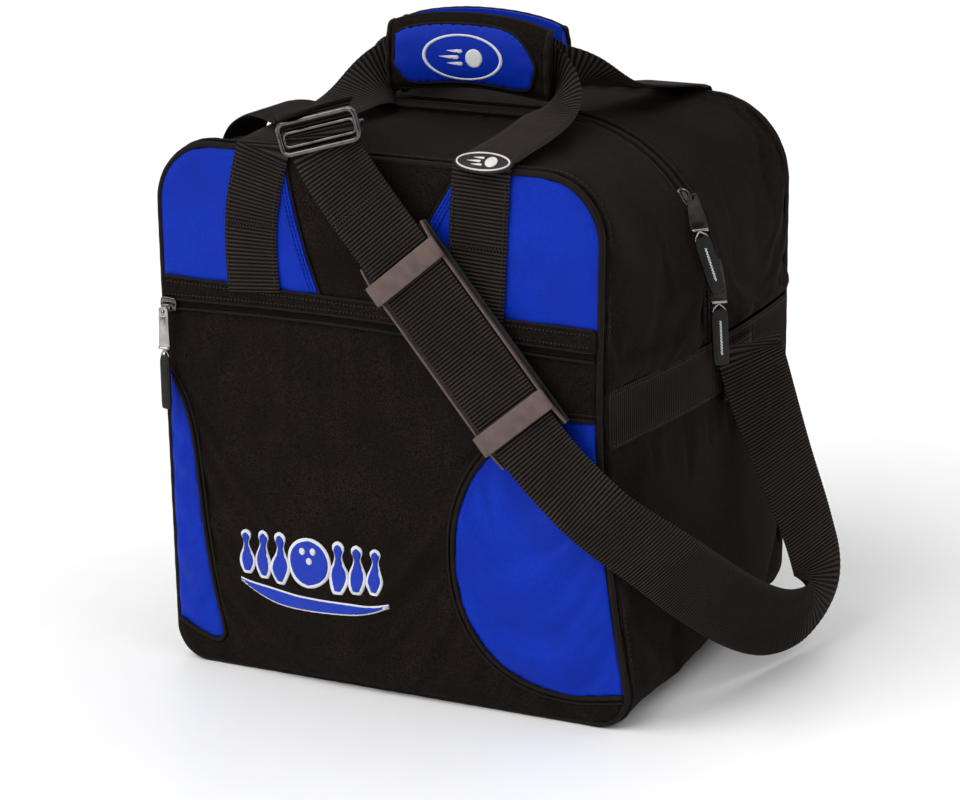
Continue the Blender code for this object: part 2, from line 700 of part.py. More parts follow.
def shoulder_strap():
    """The strap in two sections, its doubled layer, and the sewn ends on the side bands."""
    thick = 1.6 * MM
    ribbon("shoulder_strap_top", strap_knots_top(), STRAP, thick, WEB, steps=3)
    ribbon("shoulder_strap_low", strap_knots_low(), STRAP, thick, WEB, steps=4)
    across = strap_across()
    inner = [(tuple(GLIDE + GLIDE_RUN * at * MM), glide_across()) for at in (-9, 0, 13)]
    inner += [(tuple(STRAP_START.lerp(STRAP_END, f)), across) for f in (0, 0.33, 0.67, 1)]
    ribbon("shoulder_strap_return", inner, STRAP - 1 * MM, 1.4 * MM, WEB, steps=2, offset=-1.85 * MM)


def rounded_rectangle(width, height, radius, steps=4):
    """A closed path in X and Y."""
    found = []
    for quarter_turn in range(4):
        cx = (width / 2 - radius) * (1 if quarter_turn in (0, 3) else -1)
        cy = (height / 2 - radius) * (1 if quarter_turn in (0, 1) else -1)
        for step in range(steps):
            a = math.pi / 2 * (quarter_turn + step / (steps - 1))
            found.append((cx + radius * math.cos(a), cy + radius * math.sin(a)))
    return found


def tri_glide():
    """The adjuster: a wire frame in front of the strap, and a bar behind it with its ends turned forward."""
    wire = 1.5 * MM
    place = strap_frame(GLIDE, GLIDE_RUN, 3.6 * MM)
    path = [place @ Vector((x, y, 0)) for x, y in rounded_rectangle(58 * MM, 22 * MM, 5 * MM)]
    tube("tri_glide_frame", path, wire, METAL, closed=True, side=Vector((0, 1, 0)))
    place = strap_frame(GLIDE, GLIDE_RUN, -5.2 * MM)
    reach, rise = 27.4 * MM, 5.0 * MM
    knots = [(-reach, 0, rise), (-reach, 0, 1.5 * MM), (-reach + 1.5 * MM, 0, 0), (0, 0, 0),
             (reach - 1.5 * MM, 0, 0), (reach, 0, 1.5 * MM), (reach, 0, rise)]
    along = (place.to_3x3() @ Vector((0, 1, 0))).normalized()
    tube("tri_glide_bar", [place @ Vector(k) for k in knots], 1.2 * MM, METAL, count=6, side=along)


def shoulder_pad():
    """The moulded pad behind the strap, with rims beside it and two bars over it."""
    length, half = PAD_LENGTH, 30 * MM
    place = strap_frame(STRAP_START.lerp(STRAP_END, PAD_AT), STRAP_END - STRAP_START, 0)
    rings = []
    for y in spread(-length / 2, length / 2, 5):
        section = [(-half, -5.6), (half, -5.6), (half, 1.6), (half - 4.6 * MM, 1.6), (half - 4.6 * MM, -3.4),
                   (-half + 4.6 * MM, -3.4), (-half + 4.6 * MM, 1.6), (-half, 1.6)]
        rings.append([place @ Vector((x, y, z * MM)) for x, z in section])
    loft("shoulder_pad", rings, RUBBER)
    for name, y in (("shoulder_pad_bar_upper", PAD_LENGTH / 2 - 8 * MM),
                    ("shoulder_pad_bar_lower", 8 * MM - PAD_LENGTH / 2)):
        bar = place @ Matrix.Translation((0, y, 3.0 * MM))
        block(name, (2 * half, 14 * MM, 2.0 * MM), bar, PAD, 0.6 * MM)


def strap_pivots():
    """The tri-glide and the pad each slide along the strap."""
    pivot("tri_glide_pivot", GLIDE, ["tri_glide_frame", "tri_glide_bar"])
    pieces = ["shoulder_pad", "shoulder_pad_bar_upper", "shoulder_pad_bar_lower"]
    pivot("shoulder_pad_pivot", STRAP_START.lerp(STRAP_END, PAD_AT), pieces)


# ---------------------------------------------------------------- bands and inside
def side_bands():
    """A webbing band across each side of the gusset, over the seam between its strips."""
    for name, side in (("side_band_left", -1), ("side_band_right", 1)):
        outer, inner = [], []
        for y in spread(FRONT + PIPING + GAP, BACK - PIPING - GAP, 9):
            t = depth_fraction(y)
            heights = spread(BAND_HEIGHT - SIDE_BAND / 2, BAND_TOP, 3)
            outer.append([Vector((side * (half_width(side, z, t) + GAP + 1.4 * MM), y, z)) for z in heights])
            inner.append([Vector((side * (half_width(side, z, t) + GAP), y, z)) for z in heights])
        sheet(name, outer, inner, WEB)


def base_board():
    low = WALL + GAP
    outline = rounded_rectangle(260 * MM, DEPTH - 16 * MM, 14 * MM)
    prism("base_board", outline, 2.6 * MM, Matrix.Translation((0, 0, low + 1.3 * MM)), BOARD)


def ball_cup():
    """The foam ring that keeps the ball from rolling; its bore is a cone."""
    low = WALL + 2 * GAP + 2.6 * MM
    profile = [(56, 0), (BALL_CUP_OUTER / MM, 0), (BALL_CUP_OUTER / MM, 30), (84, 34), (76, 30)]
    rings = []
    for k in range(24):
        a = 2 * math.pi * k / 24
        turn = Vector((math.cos(a), math.sin(a), 0))
        rings.append([turn * r * MM + Vector((0, 0, low + z * MM)) for r, z in profile])
    loft("ball_cup", rings, FOAM, closed=True)


def build():
    for obj in list(bpy.data.objects):
        bpy.data.objects.remove(obj)
    shell()
    piping()
    upper_front()
    pocket()
    main_zipper()
    pocket_zipper()
    sliders()
    handles()
    shoulder_strap()
    tri_glide()
    shoulder_pad()
    side_bands()
    base_board()
    ball_cup()
    lid_and_handles()
    strap_pivots()


build()
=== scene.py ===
"""The bowling bag dressed for its picture: sewn fabric, ribbed webbing, wire hardware and moulded rubber.

Everything is in metres in the CAD frame: X to the right seen from the front, Y to the back, Z up.
"""
import math

import bmesh
import bpy
from mathutils import Matrix, Vector, noise
from mathutils.bvhtree import BVHTree


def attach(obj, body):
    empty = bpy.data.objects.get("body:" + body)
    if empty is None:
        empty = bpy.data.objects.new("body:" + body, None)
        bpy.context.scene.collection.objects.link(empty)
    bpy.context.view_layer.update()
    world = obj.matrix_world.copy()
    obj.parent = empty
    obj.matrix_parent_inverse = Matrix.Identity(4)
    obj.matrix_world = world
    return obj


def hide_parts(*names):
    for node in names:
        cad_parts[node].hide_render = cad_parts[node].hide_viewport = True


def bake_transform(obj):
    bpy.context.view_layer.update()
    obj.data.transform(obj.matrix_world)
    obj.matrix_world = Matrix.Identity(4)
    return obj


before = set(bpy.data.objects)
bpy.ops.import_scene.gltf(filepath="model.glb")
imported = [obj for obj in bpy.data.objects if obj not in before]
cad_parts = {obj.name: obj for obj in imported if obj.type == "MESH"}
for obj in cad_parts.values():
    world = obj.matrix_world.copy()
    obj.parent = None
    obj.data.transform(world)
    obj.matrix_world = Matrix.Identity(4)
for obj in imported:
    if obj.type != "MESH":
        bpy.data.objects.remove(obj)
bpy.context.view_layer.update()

MM = 0.001
DEPTH = 290 * MM
TOP = 358 * MM
TOP_CROWN = 5.5 * MM
SIDE_BULGE = 9 * MM
BAND_HEIGHT = 202 * MM
SIDE_BAND = 38 * MM
WEBBING = 40 * MM
STRAP = 50 * MM
POCKET_ZIP = 248 * MM
POCKET_BULGE = 8 * MM
PIPING = 2.3 * MM
HEM_TOP = 265 * MM
FRONT = -DEPTH / 2
BACK = DEPTH / 2
SPLIT = BAND_HEIGHT + SIDE_BAND / 2 + 1.5 * MM
SEAM_INSET = 3.7 * MM
CROWN = 2.5 * MM
ZIP_HALF = 9 * MM
ZIP_REACH = 2.6 * MM
GAP = 0.3 * MM
EDGE_INSET = PIPING + GAP
LEG_LEAN, LEG_FOOT = 0.05, 320 * MM
ANCHOR_MIDDLE = 35 * MM
FRONT_LEGS = (-85.5 * MM, 73.5 * MM)
REAR_LEGS = (-88 * MM, 85 * MM)
GRIP_HALF = 58 * MM
GRIP_MIDDLE = 404 * MM
PULL_GAP = 3.8 * MM
RIB = 2.4 * MM
RIB_ROWS = 4
LEG_RIB = 2.5 * MM
THREAD = 0.32 * MM
ACROSS, FORWARD, UP = Vector((1, 0, 0)), Vector((0, -1, 0)), Vector((0, 0, 1))
CELL = ((0, 0), (0, 1), (1, 1), (1, 0))

STRAP_START = Vector((-8, -164, 337)) * MM
STRAP_END = Vector((114, -164, 190)) * MM
GLIDE = Vector((-30, -162, 375)) * MM
GLIDE_RUN = Vector((0.28, 0, -0.96))
PAD_AT = 0.615
PAD_LENGTH = 132 * MM


# ---------------------------------------------------------------- materials
class Nodes:
    """A material's node tree, with one-line ways to add and join nodes."""

    def __init__(self, name):
        self.material = bpy.data.materials.new(name)
        self.material.use_nodes = True
        self.tree = self.material.node_tree
        self.shader = self.tree.nodes["Principled BSDF"]

    def add(self, kind, **settings):
        node = self.tree.nodes.new("ShaderNode" + kind)
        for key, value in settings.items():
            setattr(node, key, value)
        return node

    def link(self, source, target):
        self.tree.links.new(source, target)

    def math(self, operation, a, b=None, clamp=False):
        node = self.add("Math", operation=operation, use_clamp=clamp)
        for value, socket in zip((a, b), node.inputs):
            if isinstance(value, (int, float)):
                socket.default_value = value
            elif value is not None:
                self.link(value, socket)
        return node.outputs[0]

    def uv(self):
        """The piece's own lengths across and along it, in millimetres."""
        uv = self.add("UVMap")
        split = self.add("SeparateXYZ")
        self.link(uv.outputs[0], split.inputs[0])
        return self.math("MULTIPLY", split.outputs[0], 1000), self.math("MULTIPLY", split.outputs[1], 1000)

    def wave(self, length, pitch, phase=0.0):
        """0 to 1 and back, once in every pitch."""
        turn = self.math("ADD", self.math("MULTIPLY", length, 2 * math.pi / pitch), phase)
        return self.math("ADD", self.math("MULTIPLY", self.math("SINE", turn), 0.5), 0.5)

    def noise(self, scale, detail=3.0, roughness=0.5):
        place = self.add("TexCoord")
        node = self.add("TexNoise")
        self.link(place.outputs["Object"], node.inputs["Vector"])
        node.inputs["Scale"].default_value = scale
        node.inputs["Detail"].default_value = detail
        node.inputs["Roughness"].default_value = roughness
        return node.outputs["Fac"]

    def mix(self, factor, first, second):
        """The first colour where the factor is 0 and the second where it is 1."""
        node = self.add("Mix", data_type="RGBA")
        self.link(factor, node.inputs[0])
        node.inputs[6].default_value, node.inputs[7].default_value = (*first, 1), (*second, 1)
        return node.outputs[2]

    def bump(self, height, distance, strength=1.0, under=None):
        node = self.add("Bump")
        self.link(height, node.inputs["Height"])
        node.inputs["Distance"].default_value = distance
        node.inputs["Strength"].default_value = strength
        if under is not None:
            self.link(under, node.inputs["Normal"])
        return node.outputs[0]

    def finish(self, colour, roughness, normal, **constants):
        self.link(colour, self.shader.inputs["Base Color"])
        self.link(roughness, self.shader.inputs["Roughness"])
        self.link(normal, self.shader.inputs["Normal"])
        for key, value in constants.items():
            self.shader.inputs[key.replace("_", " ")].default_value = value
        return self.material


def spread_of(nodes, source, low, high):
    """A noise value stretched to run from low to high."""
    node = nodes.add("MapRange")
    nodes.link(source, node.inputs["Value"])
    for key, value in (("From Min", 0.3), ("From Max", 0.7), ("To Min", low), ("To Max", high)):
        node.inputs[key].default_value = value
    return node.outputs[0]


def cloth_material(name, dark, light, pitch, depth, roughness, sheen, tint, specular=0.3, speckle=0.28):
    """A plain weave: threads over and under at a pitch in millimetres, mottled and dusty by noise, and painted darker
    where the threads dip under, as shade on the weave's relief.
    """
    n = Nodes(name)
    u, v = n.uv()
    across, along = n.wave(u, pitch), n.wave(v, pitch, 1.0)
    weave = n.math("ABSOLUTE", n.math("SUBTRACT", across, along))
    grain = n.noise(900, 2)
    mottle = n.noise(26, 4, 0.6)
    fibre = n.math("ADD", spread_of(n, grain, -speckle, 1.25 * speckle), 0.45)
    # Painted shade: the weave term darkens the colour where the threads dip under, following the bump; the mottle adds
    # a random tone.
    shade = n.math("ADD", spread_of(n, mottle, 0.2, 0.9), n.math("MULTIPLY", weave, 0.25))
    colour = n.mix(n.math("MULTIPLY", fibre, shade, True), dark, light)
    rough = spread_of(n, mottle, roughness - 0.07, roughness + 0.07)
    soft = n.bump(n.noise(160, 3), 0.5 * MM, 0.25)
    return n.finish(colour, rough, n.bump(weave, depth, 0.5, soft), Sheen_Weight=sheen, Sheen_Roughness=0.4,
                    Sheen_Tint=(*tint, 1), Specular_IOR_Level=specular)


def webbing_material(name, dark, light, pitch, strength):
    """Ribs across the band with fine yarns along it, speckled by noise; the colour is painted lighter on the ribs and
    darker in the grooves and between the yarns, as light and shade on the relief.
    """
    n = Nodes(name)
    u, v = n.uv()
    rib = n.wave(v, pitch, math.pi / 2)
    yarn = n.wave(u, 1.1)
    mottle = n.noise(40, 4, 0.6)
    # Painted light and shade: lighter on the rib crests and darker in the grooves, following the bump, times a random
    # mottle; the yarn term paints shade between the yarns beside a fine noise speckle.
    lit = n.math("MULTIPLY", n.math("POWER", rib, 1.3), spread_of(n, mottle, 0.6, 1.0))
    speckle_and_yarn_shade = n.math("ADD", n.math("MULTIPLY", n.noise(700, 2), 0.5), n.math("MULTIPLY", yarn, 0.25))
    colour = n.mix(n.math("MULTIPLY", lit, n.math("ADD", speckle_and_yarn_shade, 0.5), True), dark, light)
    rough = spread_of(n, mottle, 0.62, 0.8)
    height = n.math("ADD", n.math("MULTIPLY", rib, strength), n.math("MULTIPLY", yarn, 0.12))
    return n.finish(colour, rough, n.bump(height, 0.6 * MM, 0.8), Sheen_Weight=0.02, Sheen_Roughness=0.4,
                    Sheen_Tint=(0.9, 0.82, 0.78, 1), Specular_IOR_Level=0.08)


def moulded_material(name, dark, light, roughness, metallic=0.0, grain=240, depth=0.12 * MM, coat=0.0,
                     specular=0.5):
    """Moulded or plated: fine grain, soft colour change and uneven gloss."""
    n = Nodes(name)
    mottle = n.noise(90, 3)
    colour = n.mix(spread_of(n, mottle, 0.0, 1.0), dark, light)
    rough = spread_of(n, n.noise(grain, 4, 0.6), roughness * 0.7, roughness * 1.3)
    return n.finish(colour, rough, n.bump(n.noise(grain * 2, 3), depth, 0.35), Metallic=metallic,
                    Coat_Weight=coat, Coat_Roughness=0.2, Specular_IOR_Level=specular)


def satin_material(name, dark, light, pitch, tilt):
    """Embroidery: parallel satin stitches laid slantwise, painted darker between the stitches as shade."""
    n = Nodes(name)
    u, v = n.uv()
    slant = n.math("ADD", u, n.math("MULTIPLY", v, tilt))
    # Painted shade: darker between the satin stitches, following their bump.
    thread = n.wave(slant, pitch)
    colour = n.mix(n.math("ADD", n.math("MULTIPLY", thread, 0.7), n.math("MULTIPLY", n.noise(300, 2), 0.3)),
                   dark, light)
    rough = spread_of(n, n.noise(120, 2), 0.42, 0.6)
    return n.finish(colour, rough, n.bump(thread, 0.25 * MM, 0.6), Sheen_Weight=0.05, Sheen_Roughness=0.3,
                    Specular_IOR_Level=0.3)


DUST = (0.9, 0.72, 0.64)
BLACK = cloth_material("black_polyester", (0.0048, 0.0032, 0.0025), (0.0170, 0.0122, 0.0102), 1.1, 0.25 * MM, 0.86,
                       0.02, DUST, 0.04, 0.6)
LINING = cloth_material("lining", (0.005, 0.005, 0.0055), (0.017, 0.017, 0.018), 0.7, 0.1 * MM, 0.6, 0.05,
                        (0.9, 0.9, 1), 0.2)
# The wide span from dark to light lets the mottle paint soft fold shade into the blue, besides its random tone.
BLUE = cloth_material("blue_nylon", (0.0004, 0.0150, 0.27), (0.0012, 0.035, 0.50), 0.6, 0.08 * MM, 0.5, 0.01,
                      (0.5, 0.65, 1), 0.10)
TAPE = cloth_material("zipper_tape", (0.004, 0.0028, 0.0023), (0.015, 0.011, 0.0095), 0.8, 0.2 * MM, 0.7, 0.02,
                      DUST, 0.12)
# The span from nearly black to light paints deep shade in the ribs' grooves and light on their crests.
RIBBED = webbing_material("ribbed_webbing", (0.0004, 0.0003, 0.0002), (0.050, 0.037, 0.032), RIB / MM, 0.7)
PLAIN_WEB = webbing_material("fine_webbing", (0.0025, 0.0017, 0.0014), (0.020, 0.0148, 0.0128), 2.3, 0.5)
LEG_WEB = webbing_material("handle_webbing", (0.0006, 0.0004, 0.0003), (0.048, 0.0355, 0.031), LEG_RIB / MM, 0.7)
CORD = cloth_material("piping_cloth", (0.0040, 0.0028, 0.0023), (0.019, 0.0138, 0.0118), 0.9, 0.2 * MM, 0.75, 0.03,
                      DUST, 0.10)
THREAD_DARK = satin_material("black_thread", (0.006, 0.0045, 0.004), (0.030, 0.023, 0.020), 0.5, 0.3)
THREAD_BLUE = satin_material("blue_thread", (0.001, 0.012, 0.20), (0.003, 0.040, 0.55), 0.5, 0.3)
WHITE = satin_material("white_embroidery", (0.55, 0.56, 0.58), (0.85, 0.85, 0.86), 0.55, 0.25)
EMBLEM_BLUE = satin_material("blue_embroidery", (0.002, 0.018, 0.30), (0.005, 0.045, 0.52), 0.55, -0.3)
METAL = moulded_material("black_nickel", (0.035, 0.032, 0.030), (0.13, 0.122, 0.116), 0.14, 1.0, 500, 0.03 * MM, 0.5)
GUNMETAL = moulded_material("gunmetal", (0.008, 0.0075, 0.007), (0.040, 0.037, 0.035), 0.3, 1.0, 500, 0.03 * MM, 0.2)
BRIGHT = moulded_material("bright_nickel", (0.20, 0.19, 0.18), (0.42, 0.41, 0.39), 0.2, 1.0, 500, 0.03 * MM, 0.3)
RUBBER = moulded_material("black_rubber", (0.004, 0.0035, 0.0033), (0.012, 0.010, 0.0095), 0.55, specular=0.25)
WHITE_RUBBER = moulded_material("white_moulding", (0.50, 0.48, 0.47), (0.66, 0.64, 0.63), 0.5)
GREY = moulded_material("grey_moulding", (0.080, 0.054, 0.047), (0.125, 0.087, 0.076), 0.5, 0.0, 420, 0.1 * MM,
                        specular=0.25)
CUP_FOAM = moulded_material("grey_foam", (0.05, 0.05, 0.055), (0.11, 0.11, 0.12), 0.95, 0.0, 700, 0.5 * MM)


# ---------------------------------------------------------------- the bag's shape, as in the CAD
def mix(front, back, bulge, t):
    return front * (1 - t) + back * t + bulge * 4 * t * (1 - t)


def depth_fraction(y):
    return (y - FRONT) / DEPTH


def half_width(side, z, t):
    if side > 0:
        flare = 24 * MM * max(0.0, 1 - z / 0.205) ** 1.6
        front = 155 * MM + flare + 2 * MM * max(0.0, z - 0.205) / 0.110
        back = 166 * MM
    else:
        front = 158 * MM + 4 * MM * min(1.0, z / 0.300)
        back = 164 * MM
    return mix(front, back, SIDE_BULGE * 4 * (z / TOP) * (1 - z / TOP), t)


def top_height(t):
    return mix(TOP, TOP, TOP_CROWN, t)


def corner(side, t, top):
    radius = mix(42 * MM, 58 * MM, 62 * MM, t) if top else mix(24 * MM, 24 * MM, 6 * MM, t)
    z = top_height(t) - radius if top else radius
    return side * (half_width(side, z, t) - radius), z, radius


def edge_x(side, z, t, inset):
    for top in (True, False):
        x, centre, radius = corner(side, t, top)
        past = z - centre if top else centre - z
        if past > 0:
            reach = radius - inset
            return x + side * math.sqrt(max(reach ** 2 - past ** 2, 0.0))
    return side * (half_width(side, z, t) - inset)


def spread(start, end, count):
    return [start + (end - start) * i / (count - 1) for i in range(count)]


def quarter(side, t, top, inset, rising, count=13):
    x, z, radius = corner(side, t, top)
    reach = radius - inset
    turns = spread(0, math.pi / 2, count)
    if not rising:
        turns.reverse()
    up = 1 if top else -1
    return [(x + side * reach * math.cos(a), z + up * reach * math.sin(a)) for a in turns]


def arch(t, low, inset, sides=22, tops=32):
    """The outline from the right side at a height, over the top, to the left side."""
    start, end = corner(1, t, True), corner(-1, t, True)
    found = [(half_width(1, z, t) - inset, z) for z in spread(low, start[1], sides)[:-1]]
    found += quarter(1, t, True, inset, True)
    found += [(x, top_height(t) - inset) for x in spread(start[0], end[0], tops)[1:-1]]
    found += quarter(-1, t, True, inset, False)
    found += [(-half_width(-1, z, t) + inset, z) for z in spread(end[1], low, sides)[1:]]
    return found


def tub(t, high, inset, sides=26, tops=32):
    """The outline from the left side at a height, under the bottom, to the right side."""
    start, end = corner(-1, t, False), corner(1, t, False)
    found = [(-half_width(-1, z, t) + inset, z) for z in spread(high, start[1], sides)[:-1]]
    found += quarter(-1, t, False, inset, True, 9)
    found += [(x, inset) for x in spread(start[0], end[0], tops)[1:-1]]
    found += quarter(1, t, False, inset, False, 9)
    found += [(half_width(1, z, t) - inset, z) for z in spread(end[1], high, sides)[1:]]
    return found


def bulge_over(x, z, low, high, half):
    across = max(0.0, 1 - (x / half) ** 2)
    up = (z - low) / (high - low)
    return across * max(0.0, 4 * up * (1 - up)) ** 0.7


def upper_y(x, z):
    return FRONT - 3.05 * MM - CROWN * bulge_over(x, z, 0, TOP, 165 * MM)


def pocket_y(x, z):
    return upper_y(x, z) - POCKET_BULGE * bulge_over(x, z, -10 * MM, 200 * MM, 170 * MM)


def back_y(x, z):
    return BACK + 2 * MM + CROWN * 0.6 * bulge_over(x, z, 0, TOP, 165 * MM)


def hem_top(x):
    """The seam under the shoulders, which sinks a little to the right."""
    return HEM_TOP + 0.5 * MM - 4.5 * MM * (x + 150 * MM) / (300 * MM)


def zip_height(x):
    """The pocket's zipper line waves a little."""
    return POCKET_ZIP + 2.2 * MM * math.sin((x + 153 * MM) / (100 * MM) * 1.5) - 1.2 * MM * max(0, x) / (150 * MM)


def soft_folds(x, z, seed, size, depth):
    """Shallow folds in cloth, from smooth noise."""
    value = noise.noise(Vector((x / size, z / size, seed)))
    ridge = 1 - abs(noise.noise(Vector((x / size * 0.7 + 9, z / size * 1.6, seed + 5))))
    return depth * (0.6 * value + 0.8 * (ridge - 0.75))


# ---------------------------------------------------------------- mesh helpers
def new_object(name, mesh, material, sharp=None):
    """An object with smooth faces, creased where they meet at more than an angle in degrees."""
    mesh.materials.append(material)
    mesh.shade_smooth()
    if sharp:
        mesh.set_sharp_from_angle(angle=math.radians(sharp))
    obj = bpy.data.objects.new(name, mesh)
    bpy.context.collection.objects.link(obj)
    return obj


def ride(obj, body, node=None):
    """The piece moves with a body and may stand for one of the CAD's nodes."""
    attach(obj, body)
    if node:
        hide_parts(node)
    return obj


def thicken(obj, thickness):
    modifier = obj.modifiers.new("thickness", "SOLIDIFY")
    modifier.thickness = thickness
    modifier.offset = -1.0


def lengths(points):
    """How far along a line each of its points is."""
    found = [0.0]
    for a, b in zip(points, points[1:]):
        found.append(found[-1] + (b - a).length)
    return found


def lay_uv(mesh, place):
    """A UV map from a function of the vertex's number."""
    layer = mesh.uv_layers.new(name="UVMap")
    for loop in mesh.loops:
        layer.data[loop.index].uv = place(loop.vertex_index)


def grid_mesh(name, grid, closed_rows=False):
    """A mesh over rows of points, with UVs that are real lengths across and along."""
    rows, cols = len(grid), len(grid[0])
    mesh = bpy.data.meshes.new(name)
    middle = [row[cols // 2] for row in grid]
    us, vs = lengths(grid[rows // 2]), lengths(middle + middle[:1])
    faces, uvs = [], []
    for i in range(rows if closed_rows else rows - 1):
        for j in range(cols - 1):
            a, b = i * cols + j, (i + 1) % rows * cols + j
            faces.append((a, a + 1, b + 1, b))
            uvs += [(us[j + dj], vs[i + di]) for di, dj in CELL]
    mesh.from_pydata([tuple(p) for row in grid for p in row], [], faces)
    layer = mesh.uv_layers.new(name="UVMap")
    for item, uv in zip(layer.data, uvs):
        item.uv = uv
    return mesh


def mend(mesh, merge=0.0, fill=False):
    """Merges doubled points, fills open ends and turns the faces outward."""
    bm = bmesh.new()
    bm.from_mesh(mesh)
    if merge:
        bmesh.ops.remove_doubles(bm, verts=bm.verts, dist=merge)
    if fill:
        bmesh.ops.holes_fill(bm, edges=[e for e in bm.edges if e.is_boundary], sides=0)
    bmesh.ops.recalc_face_normals(bm, faces=bm.faces)
    bm.to_mesh(mesh)
    bm.free()


def smooth_path(knots, steps):
    """A smooth line through the knots, with a number of steps between each two."""
    ends = [knots[0]] + list(knots) + [knots[-1]]
    found = []
    for i in range(1, len(ends) - 2):
        a, b, c, d = (Vector(k) for k in ends[i - 1:i + 3])
        for step in range(steps):
            t = step / steps
            found.append(0.5 * (2 * b + (c - a) * t + (2 * a - 5 * b + 4 * c - d) * t * t
                                + (3 * b - a - 3 * c + d) * t ** 3))
    return found + [Vector(knots[-1])]


def resample(path, hints, spacing):
    """The path and its width hints at even steps along it."""
    reached = lengths(path)
    count = max(2, int(round(reached[-1] / spacing)) + 1)
    points, sides, k = [], [], 0
    for i in range(count):
        at = reached[-1] * i / (count - 1)
        while k < len(path) - 2 and reached[k + 1] < at:
            k += 1
        span = reached[k + 1] - reached[k]
        f = (at - reached[k]) / span if span else 0
        points.append(path[k].lerp(path[k + 1], f))
        sides.append(hints[k].lerp(hints[k + 1], f))
    return points, sides


def dense(path, step, closed=False):
    """The same line at an even, finer step."""
    run = path + [path[0]] if closed else path
    points = resample(run, run, step)[0]
    return points[:-1] if closed else points


def outline_of(knots, steps, step):
    """A rounded closed outline through corners, as (x, y) pairs."""
    knots = [Vector((x, y, 0)) for x, y in knots]
    return [(p.x, p.y) for p in dense(smooth_path(knots + knots[:1], steps), step)[:-1]]


def grounded(points, height):
    """The same points, none lower than a height: the bag stands on the floor."""
    return [Vector((p.x, p.y, max(p.z, height))) for p in points]


def band(name, knots, width, thick, material, rib=0.0, pitch=RIB, offset=0.0, skewed=False, cols=9, bow=0.0,
         spacing=None):
    """A webbing band through (point, width direction) knots, its ribs raised across it."""
    path = smooth_path([point for point, _ in knots], 12)
    hints = smooth_path([side for _, side in knots], 12)
    points, sides = resample(path, hints, spacing or (pitch / RIB_ROWS if rib else 3 * MM))
    grid = []
    for i, (point, hint) in enumerate(zip(points, sides)):
        a, b = max(i - 2, 0), min(i + 2, len(points) - 1)
        along = (points[b] - points[a]).normalized()
        across = hint if skewed else hint - along * hint.dot(along)
        across.normalize()
        face = along.cross(across).normalized()
        raised = rib * math.cos(2 * math.pi / RIB_ROWS * i)
        serrated = 1 + 0.5 * raised / width
        row = []
        for face_way in (1, -1):
            for j in range(cols):
                f = (j / (cols - 1) * 2 - 1) * face_way
                edge = 1 - 0.75 * max(0.0, abs(f) - 0.93) / 0.07
                lift = face_way * (thick / 2 + raised) * edge + bow * (1 - f * f)
                row.append(point + across * width / 2 * f * serrated + face * (offset + lift))
        row.append(row[0])
        grid.append(row)
    mesh = grid_mesh(name, grid)
    if rib:
        cells = len(grid[0]) - 1
        layer = mesh.uv_layers[0]
        for face in range(len(mesh.polygons)):
            for k, step in enumerate((0, 0, 1, 1)):
                item = layer.data[face * 4 + k]
                item.uv = (item.uv[0], (face // cells + step) * pitch / RIB_ROWS)
    mend(mesh, 1e-6, True)
    return new_object(name, mesh, material, 50)


def tube(name, path, radius, material, closed=False, count=10, side=-FORWARD):
    """A round cord along a path; radius may be a function of the row."""
    grid = []
    for i, point in enumerate(path):
        if closed:
            along = path[(i + 1) % len(path)] - path[i - 1]
        else:
            along = path[min(i + 1, len(path) - 1)] - path[max(i - 1, 0)]
        along = along.normalized()
        first = (side - along * side.dot(along)).normalized()
        second = along.cross(first)
        r = radius(i) if callable(radius) else radius
        row = [point + (first * math.cos(2 * math.pi * k / count) + second * math.sin(2 * math.pi * k / count)) * r
               for k in range(count + 1)]
        grid.append(row)
    mesh = grid_mesh(name, grid, closed)
    mend(mesh, 1e-7, not closed)
    return new_object(name, mesh, material)


def fluted(radius, pitch_rows, depth):
    """A cord's radius with a little unevenness, as cloth drawn round a cord shows."""
    return lambda i: radius * (1 + depth * math.sin(i * 2 * math.pi / pitch_rows) + 0.6 * depth * math.sin(i * 0.37))


def cord(name, path, radius, body, node=None, step=2.4 * MM, flutes=(4, 0.06), closed=False, count=8, floor=None,
         material=CORD):
    """A cloth-covered cord along a line, taken at an even step unless the step is None."""
    points = dense(path, step, closed) if step else path
    if floor:
        points = grounded(points, floor)
    return ride(tube(name, points, fluted(radius, *flutes), material, closed, count), body, node)


def block(name, size, place, material, bevel, segments=3):
    """A box with rounded edges, placed by a matrix."""
    bm = bmesh.new()
    bmesh.ops.create_cube(bm, size=1, calc_uvs=True)
    bmesh.ops.scale(bm, vec=size, verts=bm.verts)
    bmesh.ops.bevel(bm, geom=bm.edges[:], offset=bevel, segments=segments, affect="EDGES", profile=0.5)
    bmesh.ops.transform(bm, matrix=place, verts=bm.verts)
    mesh = bpy.data.meshes.new(name)
    bm.to_mesh(mesh)
    bm.free()
    if not mesh.uv_layers:
        mesh.uv_layers.new(name="UVMap")
    return new_object(name, mesh, material)


def join(name, objects):
    """One object from several, each with the material it had."""
    bm = bmesh.new()
    materials = []
    for obj in objects:
        start = len(bm.faces)
        bm.from_mesh(obj.data)
        bm.faces.ensure_lookup_table()
        material = obj.data.materials[0]
        if material not in materials:
            materials.append(material)
        for face in bm.faces[start:]:
            face.material_index = materials.index(material)
    mesh = bpy.data.meshes.new(name)
    bm.to_mesh(mesh)
    bm.free()
    for material in materials:
        mesh.materials.append(material)
    for obj in objects:
        bpy.data.objects.remove(obj)
    made = bpy.data.objects.new(name, mesh)
    bpy.context.collection.objects.link(made)
    return made


